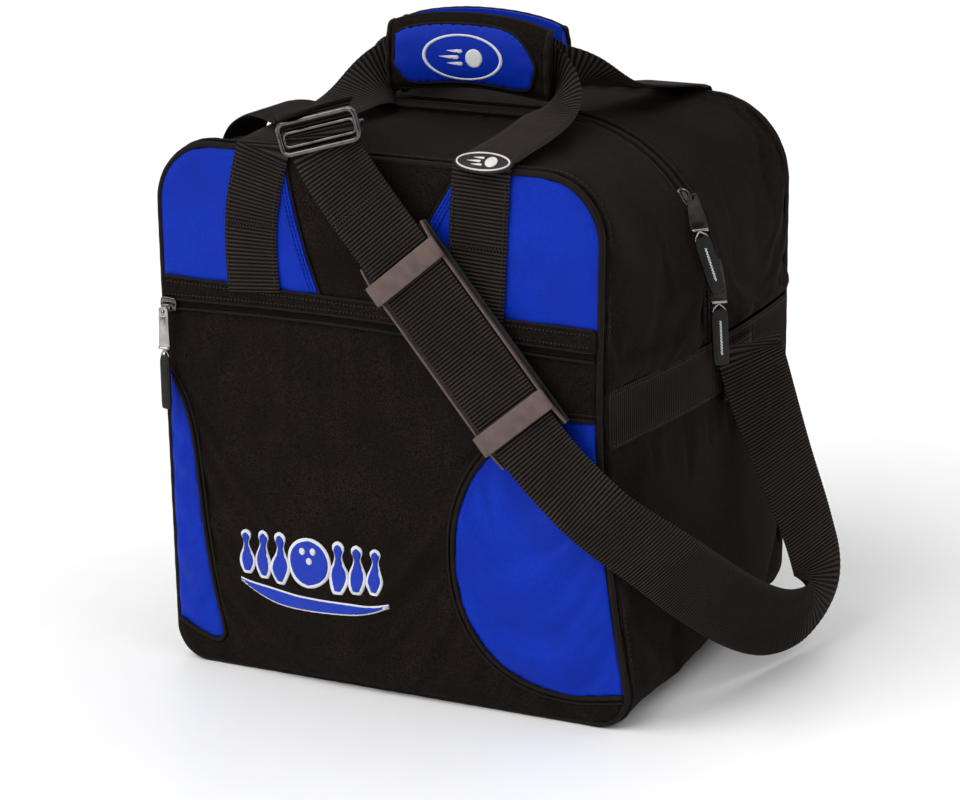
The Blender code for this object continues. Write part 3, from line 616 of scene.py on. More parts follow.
def stitches(name, runs, body, length=2.6 * MM, gap=1.1 * MM, radius=THREAD, material=THREAD_DARK):
    """Thread stitches laid along runs of (path, outward) pairs, all in one mesh."""
    verts, faces = [], []
    for path, out in runs:
        points = dense(path, length + gap)
        for a, b in zip(points, points[1:]):
            along = (b - a).normalized()
            far = a + along * length
            normal = Vector(out)
            side = along.cross(normal).normalized()
            normal = side.cross(along).normalized()
            base = len(verts)
            for f, r in ((0.0, 0.25), (0.2, 1.0), (0.8, 1.0), (1.0, 0.25)):
                centre = a.lerp(far, f)
                for k in range(5):
                    angle = 2 * math.pi * k / 5
                    verts.append(centre + (side * math.cos(angle) + normal * math.sin(angle)) * radius * r)
            for ring in range(3):
                for k in range(5):
                    m = (k + 1) % 5
                    faces.append((base + ring * 5 + k, base + ring * 5 + m,
                                  base + ring * 5 + 5 + m, base + ring * 5 + 5 + k))
    mesh = bpy.data.meshes.new(name)
    mesh.from_pydata([tuple(v) for v in verts], [], faces)
    lay_uv(mesh, lambda v: (mesh.vertices[v].co.x + mesh.vertices[v].co.y, mesh.vertices[v].co.z))
    return ride(new_object(name, mesh, material), body)


def frame_matrix(origin, across, up, out):
    """A placing matrix with X across, Y up and Z out of a face."""
    matrix = Matrix((across, up, out)).transposed().to_4x4()
    matrix.translation = origin
    return matrix


# ---------------------------------------------------------------- fabric shells
def two_sided(name, outer, inner, material, lining):
    """A shell with a thickness: an outer grid, an equal inner one of lining, and a rim that joins them."""
    rows, cols = len(outer), len(outer[0])
    points = [tuple(p) for grid in (outer, inner) for row in grid for p in row]
    us, vs = lengths(outer[rows // 2]), lengths([row[cols // 2] for row in outer])
    faces, slots, uvs = [], [], []
    for side in (0, 1):
        base = side * rows * cols
        for i in range(rows - 1):
            for j in range(cols - 1):
                faces.append(tuple(base + (i + di) * cols + j + dj for di, dj in CELL))
                uvs += [(us[j + dj], vs[i + di]) for di, dj in CELL]
                slots.append(side)
    rim = list(range(cols)) + [i * cols + cols - 1 for i in range(1, rows)]
    rim += [(rows - 1) * cols + j for j in range(cols - 2, -1, -1)] + [i * cols for i in range(rows - 2, 0, -1)]
    for k, (a, b) in enumerate(zip(rim, rim[1:] + rim[:1])):
        faces.append((a, b, b + rows * cols, a + rows * cols))
        uvs += [((k + dk) * 3 * MM, v * 4 * MM) for v, dk in CELL]
        slots.append(0)
    mesh = bpy.data.meshes.new(name)
    mesh.from_pydata(points, [], faces)
    layer = mesh.uv_layers.new(name="UVMap")
    for item, uv in zip(layer.data, uvs):
        item.uv = uv
    mend(mesh)
    obj = new_object(name, mesh, material, 60)
    mesh.materials.append(lining)
    for face, slot in zip(mesh.polygons, slots):
        face.material_index = slot
    return obj


def sheet(name, rows, cols, place, material):
    """A shell from a function of its row and column, which gives the outer point and the lining's."""
    pairs = [[place(i, j) for j in range(cols)] for i in range(rows)]
    outer, inner = ([[pair[k] for pair in row] for row in pairs] for k in (0, 1))
    return two_sided(name, outer, inner, material, LINING)


def draped(points, faces, held, grow, pressure, cap, frames=20):
    """The points after a short cloth simulation with some of them held, none moved further than the cap."""
    mesh = bpy.data.meshes.new("drape")
    mesh.from_pydata([tuple(p) for p in points], [], faces)
    obj = bpy.data.objects.new("drape", mesh)
    bpy.context.collection.objects.link(obj)
    group = obj.vertex_groups.new(name="held")
    group.add(list(held), 1.0, "REPLACE")
    modifier = obj.modifiers.new("cloth", "CLOTH")
    cloth = modifier.settings
    cloth.vertex_group_mass = "held"
    cloth.quality = 6
    cloth.mass = 0.12
    cloth.tension_stiffness = cloth.compression_stiffness = 18
    cloth.shear_stiffness = 6
    cloth.bending_stiffness = 0.35
    cloth.shrink_min = -grow
    cloth.use_pressure = pressure > 0
    cloth.uniform_pressure_force = pressure
    cloth.effector_weights.gravity = 0.12
    modifier.point_cache.frame_start, modifier.point_cache.frame_end = 1, frames
    for number in range(1, frames + 1):
        bpy.context.scene.frame_set(number)
    shaped = obj.evaluated_get(bpy.context.evaluated_depsgraph_get()).data
    found = []
    for before, vertex in zip(points, shaped.vertices):
        move = vertex.co - Vector(before)
        found.append(Vector(before) + move * min(1.0, cap / max(move.length, 1e-9)))
    bpy.data.objects.remove(obj)
    bpy.data.meshes.remove(mesh)
    bpy.context.scene.frame_set(1)
    return found


def draped_grid(grid, grow, pressure, cap, outward, sewn):
    """A grid of points after the simulation: its rim and the points sewn down are held, and it is blown outward."""
    rows, cols = len(grid), len(grid[0])
    faces = []
    for i in range(rows - 1):
        for j in range(cols - 1):
            a = i * cols + j
            face = (a, a + 1, a + cols + 1, a + cols)
            faces.append(face if outward else face[::-1])
    held = [i * cols + j for i in range(rows) for j in range(cols)
            if i in (0, rows - 1) or j in (0, cols - 1) or sewn(grid[i][j])]
    points = draped([p for row in grid for p in row], faces, held, grow, pressure, cap)
    return [points[i * cols:(i + 1) * cols] for i in range(rows)]


def gusset_lift(x, y, z, low_edge, high_edge, seed):
    """How far the gusset's cloth stands off its form: folds, a pull at its seams and a sag over the band."""
    beside = min(y - low_edge, high_edge - y)
    seam = -1.1 * MM * math.exp(-beside / (3 * MM))
    pucker = 0.45 * MM * math.exp(-beside / (14 * MM)) * math.sin((x + z) / (7 * MM) + 4 * noise.noise(
        Vector((x * 20, z * 20, seed))))
    folds = soft_folds(y + x * 0.4, z + x * 0.6, seed, 62 * MM, 2.0 * MM)
    side = 1 if abs(x) > 140 * MM else 0
    over = 2.8 * MM * math.exp(-((z - 231 * MM) / (9 * MM)) ** 2) * side
    under = 1.1 * MM * math.exp(-((z - 176 * MM) / (8 * MM)) ** 2) * side
    tuck = -1.2 * MM * math.exp(-((z - 202 * MM) / (17 * MM)) ** 6) * side
    ripple = 0.8 * MM * math.exp(-((z - 236 * MM) / (20 * MM)) ** 2) * side * math.sin(y / (11 * MM) + 2 * math.sin(
        y / (31 * MM)))
    return seam + pucker + folds + over + under + tuck + ripple


def gusset(name, outline, low, first, last, seed):
    """A strip of the gusset along an outline, draped by the simulation between its seams and the bands."""
    rows = int((last - first) / (3.6 * MM)) + 1
    outer, inner = [], []
    for y in spread(first, last, rows):
        t = depth_fraction(y)
        face, skin = outline(t, low, 0), outline(t, low, 1 * MM)
        row, lined = [], []
        for (x, z), (x1, z1) in zip(face, skin):
            normal = Vector((x - x1, 0, z - z1)).normalized()
            lift = gusset_lift(x, y, z, first, last, seed)
            end = min(1.0, abs(z - low) / (6 * MM))
            row.append(Vector((x, y, z)) + normal * lift * (0.3 + 0.7 * end))
            lined.append(Vector((x, y, z)) - normal * (3.4 * MM - 0.3 * lift))
        outer.append(row)
        inner.append(lined)
    outer = [grounded(row, 0.2 * MM) for row in outer]
    across, along = outer[0][1] - outer[0][0], outer[1][0] - outer[0][0]
    away = outer[0][0] - inner[0][0]
    still = draped_grid(outer, 0.02, 1.2, 4 * MM, across.cross(along).dot(away) > 0,
                        lambda p: p.z < 3 * MM or 181 * MM < p.z < 217 * MM)
    inner = [[b + (c - a) for a, b, c in zip(*rows)] for rows in zip(outer, inner, still)]
    outer = [grounded(row, 0.1 * MM) for row in still]
    return two_sided(name, outer, inner, BLACK, LINING)


def outline_edge(side, t, inset):
    return lambda z: edge_x(side, z, t, inset)


def sewn_panel(name, t, low, high, face, material, seed, fold, cell, way, thick):
    """A cloth panel between the bag's sides: crowned, puckered beside its seams, with soft folds in it."""
    left, right = (outline_edge(side, t, SEAM_INSET) for side in (-1, 1))
    rows, cols = (max(3, int(span / cell) + 1) for span in (high - low, right(low) - left(low)))

    def place(i, j):
        z = low + (high - low) * i / (rows - 1)
        a, b = left(z), right(z)
        x = a + (b - a) * j / (cols - 1)
        ends, sides = min(z - low, high - z), min(x - a, b - x)
        near = max(0.0, min(ends, sides))
        seam = -0.9 * MM * math.exp(-near / (2.2 * MM)) + 0.5 * MM * (1 - math.exp(-near / (18 * MM)))
        beside = math.sin(z / (4.6 * MM) + 5 * noise.noise(Vector((z * 30, a * 9, seed))))
        over = math.sin(x / (5.2 * MM) + 5 * noise.noise(Vector((x * 25, z * 5, seed + 3))))
        ripple = 0.45 * MM * (beside * math.exp(-sides / (9 * MM)) + over * math.exp(-ends / (9 * MM))) \
            * (0.5 + noise.noise(Vector((x * 14, z * 14, seed + 1))))
        lift = seam + ripple + fold * soft_folds(x, z, seed, 55 * MM, 1.0 * MM) * min(1.0, near / (12 * MM))
        return (Vector((x, face(x, z) + way * max(lift, -1.3 * MM), z)), Vector((x, face(x, z) - way * thick, z)))
    return sheet(name, rows, cols, place, material)


def front_path(inset, dy):
    """A closed line round the front's outline."""
    whole = [Vector((x, FRONT + dy, z)) for x, z in arch(0, BAND_HEIGHT, inset)]
    return whole + [Vector((x, FRONT + dy, z)) for x, z in tub(0, BAND_HEIGHT, inset)[1:-1]]


def shell():
    """The gusset's three strips, the hidden front wall and the two halves of the back wall."""
    start, end = FRONT + EDGE_INSET, BACK - EDGE_INSET
    ride(gusset("gusset_lower_cloth", tub, BAND_HEIGHT - 0.2 * MM, start, end, 3.0), "bag", "lower_gusset")
    ride(gusset("gusset_top_front_cloth", arch, BAND_HEIGHT, start, -ZIP_HALF, 7.0), "bag", "top_front_gusset")
    ride(gusset("gusset_top_rear_cloth", arch, SPLIT + GAP, ZIP_HALF, end, 11.0), "lid", "top_rear_gusset")
    low, high = SEAM_INSET, TOP - SEAM_INSET
    ride(sewn_panel("front_wall_lining", 0, low, high, lambda x, z: upper_y(x, z) + 3.0 * MM, LINING, 2.0, 0.3,
                    7 * MM, -1, 3 * MM), "bag", "front_wall")
    ride(sewn_panel("back_wall_lower_cloth", 1, low, SPLIT - GAP, back_y, BLACK, 21.0, 1.5, 3.4 * MM, 1,
                    3.6 * MM), "bag", "back_wall_lower")
    ride(sewn_panel("back_wall_upper_cloth", 1, SPLIT + GAP, high, back_y, BLACK, 25.0, 1.3, 3.4 * MM, 1,
                    3.6 * MM), "lid", "back_wall_upper")


def piping():
    """Corded seams at the front and back, each with the folded flange or the stitching beside it."""
    cord("front_piping_cord", front_path(2.0 * MM, -0.9 * MM), 2.15 * MM, "bag", "front_piping", 3 * MM, (5, 0.03),
         True, 12, 2.3 * MM)
    cord("front_gusset_seam", front_path(-0.1 * MM, 5.4 * MM), 1.15 * MM, "bag", flutes=(4, 0.08), closed=True,
         floor=1.25 * MM)
    line = front_path(-0.15 * MM, 9.0 * MM)
    stitches("front_gusset_stitching", [(line + line[:1], UP)], "bag")
    for name, low, outline, body in (("back_piping_lower", SPLIT - GAP, tub, "bag"),
                                     ("back_piping_upper", SPLIT + GAP, arch, "lid")):
        def back_path(inset, dy):
            return [Vector((x, BACK + dy, z)) for x, z in outline(1, low, inset)]
        cord(name + "_cord", back_path(EDGE_INSET - 0.2 * MM, 0.6 * MM), 2.6 * MM, body, name, 3 * MM, (5, 0.03),
             count=12, floor=2.7 * MM)
        cord(name + "_seam", back_path(-0.1 * MM, -5.4 * MM), 1.15 * MM, body, flutes=(4, 0.08), floor=1.25 * MM)
        cord(name + "_flange", back_path(EDGE_INSET + 4 * MM, 1.6 * MM), 1.2 * MM, body, flutes=(4, 0.07))


def curve_between(at_low, at_high, bow):
    """A bowed seam's x at each height, from the hem to the top."""
    def edge(z):
        t = (z - HEM_TOP) / (TOP - SEAM_INSET - HEM_TOP)
        return at_low + (at_high - at_low) * t + bow * 4 * t * (1 - t)
    return edge


def shifted(edge, amount):
    return lambda z: edge(z) + amount


left_shoulder_edge = curve_between(-40.5 * MM, -65 * MM, -3 * MM)
right_shoulder_edge = curve_between(14 * MM, 60 * MM, -4 * MM)


def upper_front():
    """The shoulders, the middle and the hem band above the pocket, and the cords along their seams."""
    high = TOP - SEAM_INSET
    left, right = (outline_edge(side, 0, SEAM_INSET) for side in (-1, 1))
    gap = 1.2 * MM

    def slanted(name, a, b, material, seed, node):
        rows = int((high - HEM_TOP) / (2.4 * MM))
        cols = int((b(HEM_TOP) - a(HEM_TOP)) / (2.4 * MM)) + 1

        def place(i, j):
            f = i / rows
            level = HEM_TOP + (high - HEM_TOP) * f
            x = a(level) + (b(level) - a(level)) * j / cols
            z = hem_top(x) + (high - hem_top(x)) * f
            near_z = min(z - hem_top(x), high - z)
            near = max(0.0, min(x - a(level), b(level) - x, near_z))
            seam = -0.9 * MM * math.exp(-near / (2 * MM)) + 0.7 * MM * (1 - math.exp(-near / (16 * MM)))
            wave = math.sin(x / (5.4 * MM) + 6 * noise.noise(Vector((x * 18, 0, seed))))
            ripple = 0.4 * MM * wave * math.exp(-near_z / (9 * MM))
            lift = seam + ripple + soft_folds(x, z, seed, 45 * MM, 1.0 * MM) * min(1.0, near / (12 * MM))
            return Vector((x, upper_y(x, z) - max(lift, -1.3 * MM), z)), Vector((x, upper_y(x, z) + 1.2 * MM, z))
        ride(sheet(name, rows + 1, cols + 1, place, material), "bag", node)
    slanted("shoulder_left_cloth", left, left_shoulder_edge, BLUE, 31.0, "front_shoulder_left")
    slanted("centre_cloth", shifted(left_shoulder_edge, gap), shifted(right_shoulder_edge, -gap), BLACK, 33.0,
            "front_centre")
    slanted("shoulder_right_cloth", right_shoulder_edge, right, BLUE, 35.0, "front_shoulder_right")
    for name, edge, way in (("centre_seam_left", shifted(left_shoulder_edge, gap / 2), -1),
                            ("centre_seam_right", shifted(right_shoulder_edge, -gap / 2), 1)):
        path = [Vector((edge(z), upper_y(edge(z), z) - 0.1 * MM, z)) for z in spread(HEM_TOP, high, 30)]
        cord(name, path, 0.85 * MM, "bag", step=None)
        runs = []
        for k, inset in enumerate((2.2 * MM, 4.6 * MM, 7.0 * MM)):
            run = [Vector((edge(z) + way * inset, upper_y(edge(z), z) - 0.35 * MM, z))
                   for z in spread(HEM_TOP + 2 * MM, high - 2 * MM, 60)]
            cord(f"{name}_ridge_{k}", run, 1.0 * MM, "bag", None, 1.6 * MM, (2, 0.18), material=BLUE)
            runs.append(([p + Vector((way * 1.2 * MM, -0.35 * MM, 0)) for p in run], FORWARD))
        stitches(f"{name}_stitching", runs, "bag", 2.2 * MM, 1.0 * MM, 0.22 * MM, THREAD_BLUE)
    hem_band(left, right)


def hem_band(left, right):
    """The band over the pocket's zipper, folded at both edges, with its two rows of stitching."""
    rows, cols, middle = 8, 130, 256 * MM

    def place(i, j):
        f = i / rows
        x = left(middle) + (right(middle) - left(middle)) * j / cols
        low, high = zip_height(x) + ZIP_REACH, hem_top(x) + 0.6 * MM
        z = low + (high - low) * f
        roll = 1 - math.sqrt(max(0.0, 1 - (2 * f - 1) ** 6))
        ripple = 0.25 * MM * math.sin(x / (4.2 * MM) + 4 * noise.noise(Vector((x * 22, 1, 3))))
        y = upper_y(x, z) - 1.6 * MM + 1.2 * MM * roll - ripple
        return Vector((x, y, z)), Vector((x, upper_y(x, z) + 1.0 * MM, z))
    ride(sheet("hem_band_cloth", rows + 1, cols + 1, place, BLACK), "bag", "hem_band")
    runs = []
    for height in (lambda x: zip_height(x) + 6.4 * MM, lambda x: hem_top(x) - 2.2 * MM):
        run = []
        for x in spread(left(middle) + 3 * MM, right(middle) - 3 * MM, 90):
            run.append(Vector((x, upper_y(x, height(x)) - 1.95 * MM, height(x))))
        runs.append((run, FORWARD))
    stitches("hem_band_stitching", runs, "bag", 1.5 * MM, 1.2 * MM, 0.4 * MM)
    path = []
    for x in spread(left(262 * MM) + 1 * MM, right(262 * MM) - 1 * MM, 150):
        z = hem_top(x) + 0.7 * MM
        path.append(Vector((x, upper_y(x, z) - 0.5 * MM, z)))
    cord("hem_seam_cord", path, 1.1 * MM, "bag", step=None, flutes=(4, 0.07))


LEFT_TIP = 200 * MM
LEFT_SEAM = smooth_path([Vector((x, z, 0)) * MM for x, z in (
    (-118, 10), (-119, 30), (-123.5, 50), (-129.3, 84), (-133.6, 120), (-137, 150), (-141, 170), (-147, 186),
    (-156, 201))], 16)
SLIVER_LOW = 18 * MM
D_MIDDLE = Vector((140 * MM, 111 * MM))
D_WIDE = 84 * MM
D_HIGH = 92 * MM
ROUNDED, SQUARER = 2.0, 2.35


def left_seam(z):
    """The seam beside the pocket's narrow left side: straight in the middle, flared at its foot, curled at its tip."""
    for a, b in zip(LEFT_SEAM, LEFT_SEAM[1:]):
        if a.y <= z <= b.y:
            return a.x + (b.x - a.x) * (z - a.y) / (b.y - a.y)
    return LEFT_SEAM[0].x if z < LEFT_SEAM[0].y else LEFT_SEAM[-1].x


def sliver_low(x):
    """The seam under the narrow left side, which rises to the bag's corner."""
    return SLIVER_LOW + 9 * MM * (max(0.0, -125 * MM - x) / (26 * MM)) ** 1.5


def d_low(x):
    """The seam under the round right side, where it runs out to the bag's corner."""
    return D_MIDDLE.y - D_HIGH + 5 * MM * (max(0.0, x - D_MIDDLE.x) / (34 * MM)) ** 1.2


def patch(name, inside, material, seed, fold, node, pucker):
    """A pocket panel cut from one grid by signed distances to its seams: inside(x, z) is how far in a point is."""
    left, right = (outline_edge(side, 0, SEAM_INSET) for side in (-1, 1))
    low, cell, seam_gap = SEAM_INSET, 2.2 * MM, 0.9 * MM
    columns, rows = int(310 * MM / cell), int((POCKET_ZIP - ZIP_REACH - low) / cell)
    grid = {}
    for i in range(rows + 1):
        for j in range(columns + 1):
            z = low + (zip_height(0) - ZIP_REACH - low) * i / rows
            x = left(z) + (right(z) - left(z)) * j / columns
            z = low + (zip_height(x) - ZIP_REACH - low) * i / rows
            grid[i, j] = (x, z, inside(x, z) - seam_gap, min(x - left(z), right(z) - x, z - low))
    verts, faces, index = [], [], {}

    def vertex(i, j):
        if (i, j) in index:
            return index[i, j]
        x, z, depth, edge = grid[i, j]
        if depth < 0:
            step = 0.5 * MM
            gx = (inside(x + step, z) - inside(x - step, z)) / (2 * step)
            gz = (inside(x, z + step) - inside(x, z - step)) / (2 * step)
            size = math.hypot(gx, gz) or 1
            x, z, depth = x - gx / size * depth / size, z - gz / size * depth / size, 0.0
        top = zip_height(x) - ZIP_REACH - z
        near = max(0.0, min(depth, edge, top))
        seam = -1.0 * MM * math.exp(-near / (2 * MM)) + 0.8 * MM * (1 - math.exp(-near / (20 * MM)))
        wave = math.sin((z + 0.3 * x) / (4.4 * MM) + 5 * noise.noise(Vector((x * 18, z * 18, seed))))
        ripple = pucker * MM * wave * math.exp(-min(depth, edge) / (10 * MM)) \
            * (0.55 + noise.noise(Vector((x * 12, z * 12, seed + 1))))
        top_wave = math.sin(x / (6 * MM) + 5 * noise.noise(Vector((x * 15, 2, seed))))
        ripple += 0.45 * MM * top_wave * math.exp(-max(top, 0) / (14 * MM))
        lift = seam + ripple + fold * soft_folds(x, z, seed, 70 * MM, 1.0 * MM) * min(1.0, near / (14 * MM))
        index[i, j] = len(verts)
        verts.append((x, pocket_y(x, z) - max(lift, -1.2 * MM), z))
        return index[i, j]
    for i in range(rows):
        for j in range(columns):
            corners = [(i + di, j + dj) for di, dj in CELL]
            if sum(grid[c][2] for c in corners) > -0.9 * cell or max(grid[c][2] for c in corners) > 0.45 * cell:
                faces.append(tuple(vertex(*c) for c in corners))
    uses = {}
    for face in faces:
        for a, b in zip(face, face[1:] + face[:1]):
            uses[min(a, b), max(a, b)] = uses.get((min(a, b), max(a, b)), 0) + 1
    rim = {v for edge, count in uses.items() if count == 1 for v in edge}
    flat = [(x, z) for x, _, z in verts]
    verts = draped([Vector(v) for v in verts], faces, rim, 0.009, 0.35, 3.5 * MM)
    mesh = bpy.data.meshes.new(name)
    mesh.from_pydata([tuple(v) for v in verts], [], faces)
    lay_uv(mesh, lambda v: flat[v])
    obj = new_object(name, mesh, material)
    thicken(obj, 1.2 * MM)
    return ride(obj, "bag", node)


def seam_distances():
    """The pocket's seams as functions: how far a place is inside each blue side."""
    def left_side(x, z):
        if z > LEFT_TIP:
            return -(x - left_seam(z)) - (z - LEFT_TIP)
        beside, over, turn = (left_seam(z) - x) * 0.97, z - sliver_low(x), 6 * MM
        if beside < turn and over < turn:
            return turn - math.hypot(turn - beside, turn - over)
        return min(beside, over)

    def right_side(x, z):
        if x > D_MIDDLE.x:
            return min(z - d_low(x), D_MIDDLE.y + D_HIGH - z)
        fx, fz = (D_MIDDLE.x - x) / D_WIDE, abs(z - D_MIDDLE.y) / D_HIGH
        power = ROUNDED if z > D_MIDDLE.y else SQUARER
        size = (fx ** power + fz ** power) ** (1 / power)
        return (1 - size) * (D_WIDE * fx + D_HIGH * fz) / max(fx + fz, 1e-6)
    return left_side, right_side


def pocket():
    """The pocket's three panels and the cord and the fold along each of its two seams."""
    left_side, right_side = seam_distances()
    patch("pocket_left_cloth", left_side, BLUE, 41.0, 0.8, "pocket_side_left", 0.7)
    patch("pocket_right_cloth", right_side, BLUE, 43.0, 1.2, "pocket_side_right", 0.45)
    patch("pocket_front_cloth", lambda x, z: -max(left_side(x, z), right_side(x, z)), BLACK, 45.0, 2.2,
          "pocket_front", 0.5)
    left_run = [(left_seam(z), z) for z in spread(LEFT_TIP - 3 * MM, SLIVER_LOW + 6 * MM, 70)]
    left_run += [(-120.6 * MM, 20.2 * MM), (-123.6 * MM, 18.4 * MM)]
    left_run += [(x, sliver_low(x)) for x in spread(-127 * MM, edge_x(-1, 28 * MM, 0, SEAM_INSET), 12)]

    def right_line(outset):
        reach = edge_x(1, D_MIDDLE.y + D_HIGH, 0, SEAM_INSET)
        run = [(x, D_MIDDLE.y + D_HIGH + outset) for x in spread(reach, D_MIDDLE.x + 2 * MM, 6)]
        for k in range(0, 101):
            turn = math.pi / 2 - math.pi * k / 100
            power = 2 / (ROUNDED if turn > 0 else SQUARER)
            x = D_MIDDLE.x - (D_WIDE + outset) * abs(math.cos(turn)) ** power
            run.append((x, D_MIDDLE.y + math.copysign((D_HIGH + outset) * abs(math.sin(turn)) ** power, turn)))
        foot = edge_x(1, 24 * MM, 0, SEAM_INSET)
        return run + [(x, d_low(x) - outset) for x in spread(D_MIDDLE.x + 4 * MM, foot, 8)]
    outside = [(x + 3.6 * MM, z) for x, z in left_run[:69]]
    for name, run, radius, node in (("pocket_seam_left_cord", left_run, 1.5, "pocket_seam_left"),
                                    ("pocket_seam_right_cord", right_line(0), 1.6, "pocket_seam_right"),
                                    ("pocket_fold_left", outside, 0.9, None),
                                    ("pocket_fold_right", right_line(3.6 * MM), 0.9, None)):
        path = smooth_path([Vector((x, pocket_y(x, z) + 0.2 * MM, z)) for x, z in run], 2)
        cord(name, path, radius * MM, "bag", node, 2.2 * MM)


# ---------------------------------------------------------------- zippers
def coil(name, path, outward, amplitude, radius, pitch=1.5 * MM):
    """A zipper's coil: one thread that goes to and fro across the line and rises over it."""
    points, hints = resample(path, outward, pitch / 4)
    run = []
    for i, (point, out) in enumerate(zip(points, hints)):
        along = (points[min(i + 1, len(points) - 1)] - points[max(i - 1, 0)]).normalized()
        out = out.normalized()
        side = along.cross(out)
        turn = i * math.pi / 2
        run.append(point + side * amplitude * math.cos(turn) + out * amplitude * 0.45 * math.sin(turn))
    return tube(name, run, radius, TAPE, False, 5)


def arch_line(y, inset, low):
    """A line along the opening at a depth, with its outward directions."""
    face, skin = arch(0.5, low, inset, 34, 40), arch(0.5, low, inset + 1 * MM, 34, 40)
    path = [Vector((x, y, z)) for x, z in face]
    out = [Vector((x - x1, 0, z - z1)).normalized() for (x, z), (x1, z1) in zip(face, skin)]
    return path, out


def main_zipper():
    """Two tapes over the opening, each with its half of the coil, and corded lips beside them."""
    for name, way, body, node in (("main_zipper_front_tape", -1, "bag", "main_zipper_front_half"),
                                  ("main_zipper_rear_tape", 1, "lid", "main_zipper_rear_half")):
        low = SPLIT + GAP
        profile = ((9.2, 0.2), (7.5, -0.3), (5, -0.2), (2.6, 0.2), (1.6, 0.9), (0.5, 1.3))
        outer, inner = [], []
        for across, inset in profile:
            path, out = arch_line(way * across * MM, inset * MM, low)
            outer.append(path)
            inner.append([p - o * 1.3 * MM for p, o in zip(path, out)])
        ride(two_sided(name, outer, inner, TAPE, LINING), body, node)
        path, out = arch_line(way * 1.15 * MM, -0.3 * MM, low)
        ride(coil(name.replace("tape", "coil"), path, out, 0.62 * MM, 0.36 * MM), body)
        for inset, across, radius, part in ((-0.9, 10.2, 1.75, "lip"), (-0.4, 14.6, 1.1, "lip_seam")):
            path, _ = arch_line(way * across * MM, inset * MM, low)
            cord(name.replace("tape", part), path, radius * MM, body, count=9)
        path, out = arch_line(way * 12.5 * MM, -1.05 * MM, low)
        stitches(name.replace("tape", "stitching"), [(path, (0, way * 0.3, 1))], body, 2.2 * MM, 1.0 * MM,
                 0.28 * MM)


def pocket_zipper():
    """Two tapes under the hem band and the pocket's mouth, with a coil and a fine lip beside each."""
    left, right = edge_x(-1, POCKET_ZIP, 0, SEAM_INSET), edge_x(1, POCKET_ZIP, 0, SEAM_INSET)
    xs = spread(left + 1 * MM, right - 1 * MM, 110)
    for name, way, node in (("pocket_zipper_upper_tape", 1, "pocket_zipper_upper_half"),
                            ("pocket_zipper_lower_tape", -1, "pocket_zipper_lower_half")):
        outer, inner = [], []
        for rise, depth in ((0.25, -0.2), (1.2, 0.3), (2.4, 0.9), (4.2, 1.2)):
            row = [Vector((x, upper_y(x, POCKET_ZIP) + depth * MM, zip_height(x) + way * rise * MM)) for x in xs]
            outer.append(row)
            inner.append([p + Vector((0, 1.1 * MM, 0)) for p in row])
        ride(two_sided(name, outer, inner, TAPE, LINING), "bag", node)
        path = [Vector((x, upper_y(x, POCKET_ZIP) - 0.35 * MM, zip_height(x) + way * 0.85 * MM)) for x in xs]
        ride(coil(name.replace("tape", "coil"), path, [FORWARD] * len(path), 0.5 * MM, 0.3 * MM), "bag")
        path = [Vector((x, upper_y(x, POCKET_ZIP) - 1.0 * MM, zip_height(x) + way * 3.0 * MM)) for x in xs]
        cord(name.replace("tape", "lip"), path, 1.0 * MM, "bag", flutes=(4, 0.08))


def rounded_rectangle(width, height, radius, steps=6):
    found = []
    for quarter_turn in range(4):
        cx = (width / 2 - radius) * (1 if quarter_turn in (0, 3) else -1)
        cy = (height / 2 - radius) * (1 if quarter_turn in (0, 1) else -1)
        for step in range(steps):
            a = math.pi / 2 * (quarter_turn + step / (steps - 1))
            found.append((cx + radius * math.cos(a), cy + radius * math.sin(a)))
    return found


def loops_of(bm, outline, hole, level):
    """The edges of an outline, and of a hole in it if there is one, drawn at a level."""
    edges = []
    for run in filter(None, (outline, hole)):
        verts = [bm.verts.new((x, y, level)) for x, y in run]
        edges += [bm.edges.new((a, b)) for a, b in zip(verts, verts[1:] + verts[:1])]
    return edges


def plate(name, outline, depth, place, material, bevel, hole=None):
    """A flat plate from an outline, with softened edges and perhaps a hole in it."""
    bm = bmesh.new()
    edges = loops_of(bm, outline, hole, -depth / 2)
    if hole:
        bmesh.ops.triangle_fill(bm, use_beauty=True, use_dissolve=False, edges=edges)
    else:
        bmesh.ops.contextual_create(bm, geom=edges)
    faces = bm.faces[:]
    made = bmesh.ops.extrude_face_region(bm, geom=faces)
    bmesh.ops.translate(bm, vec=(0, 0, depth), verts=[v for v in made["geom"] if isinstance(v, bmesh.types.BMVert)])
    bmesh.ops.recalc_face_normals(bm, faces=bm.faces)
    rims = [e for e in bm.edges if e.is_manifold and abs(e.calc_face_angle(0)) > 1.2]
    bmesh.ops.bevel(bm, geom=rims, offset=bevel, segments=2, affect="EDGES", profile=0.5)
    bmesh.ops.transform(bm, matrix=place, verts=bm.verts)
    mesh = bpy.data.meshes.new(name)
    bm.to_mesh(mesh)
    bm.free()
    flat = [place.inverted() @ v.co for v in mesh.vertices]
    lay_uv(mesh, lambda v: (flat[v].x, flat[v].y + flat[v].z))
    return new_object(name, mesh, material, 50)


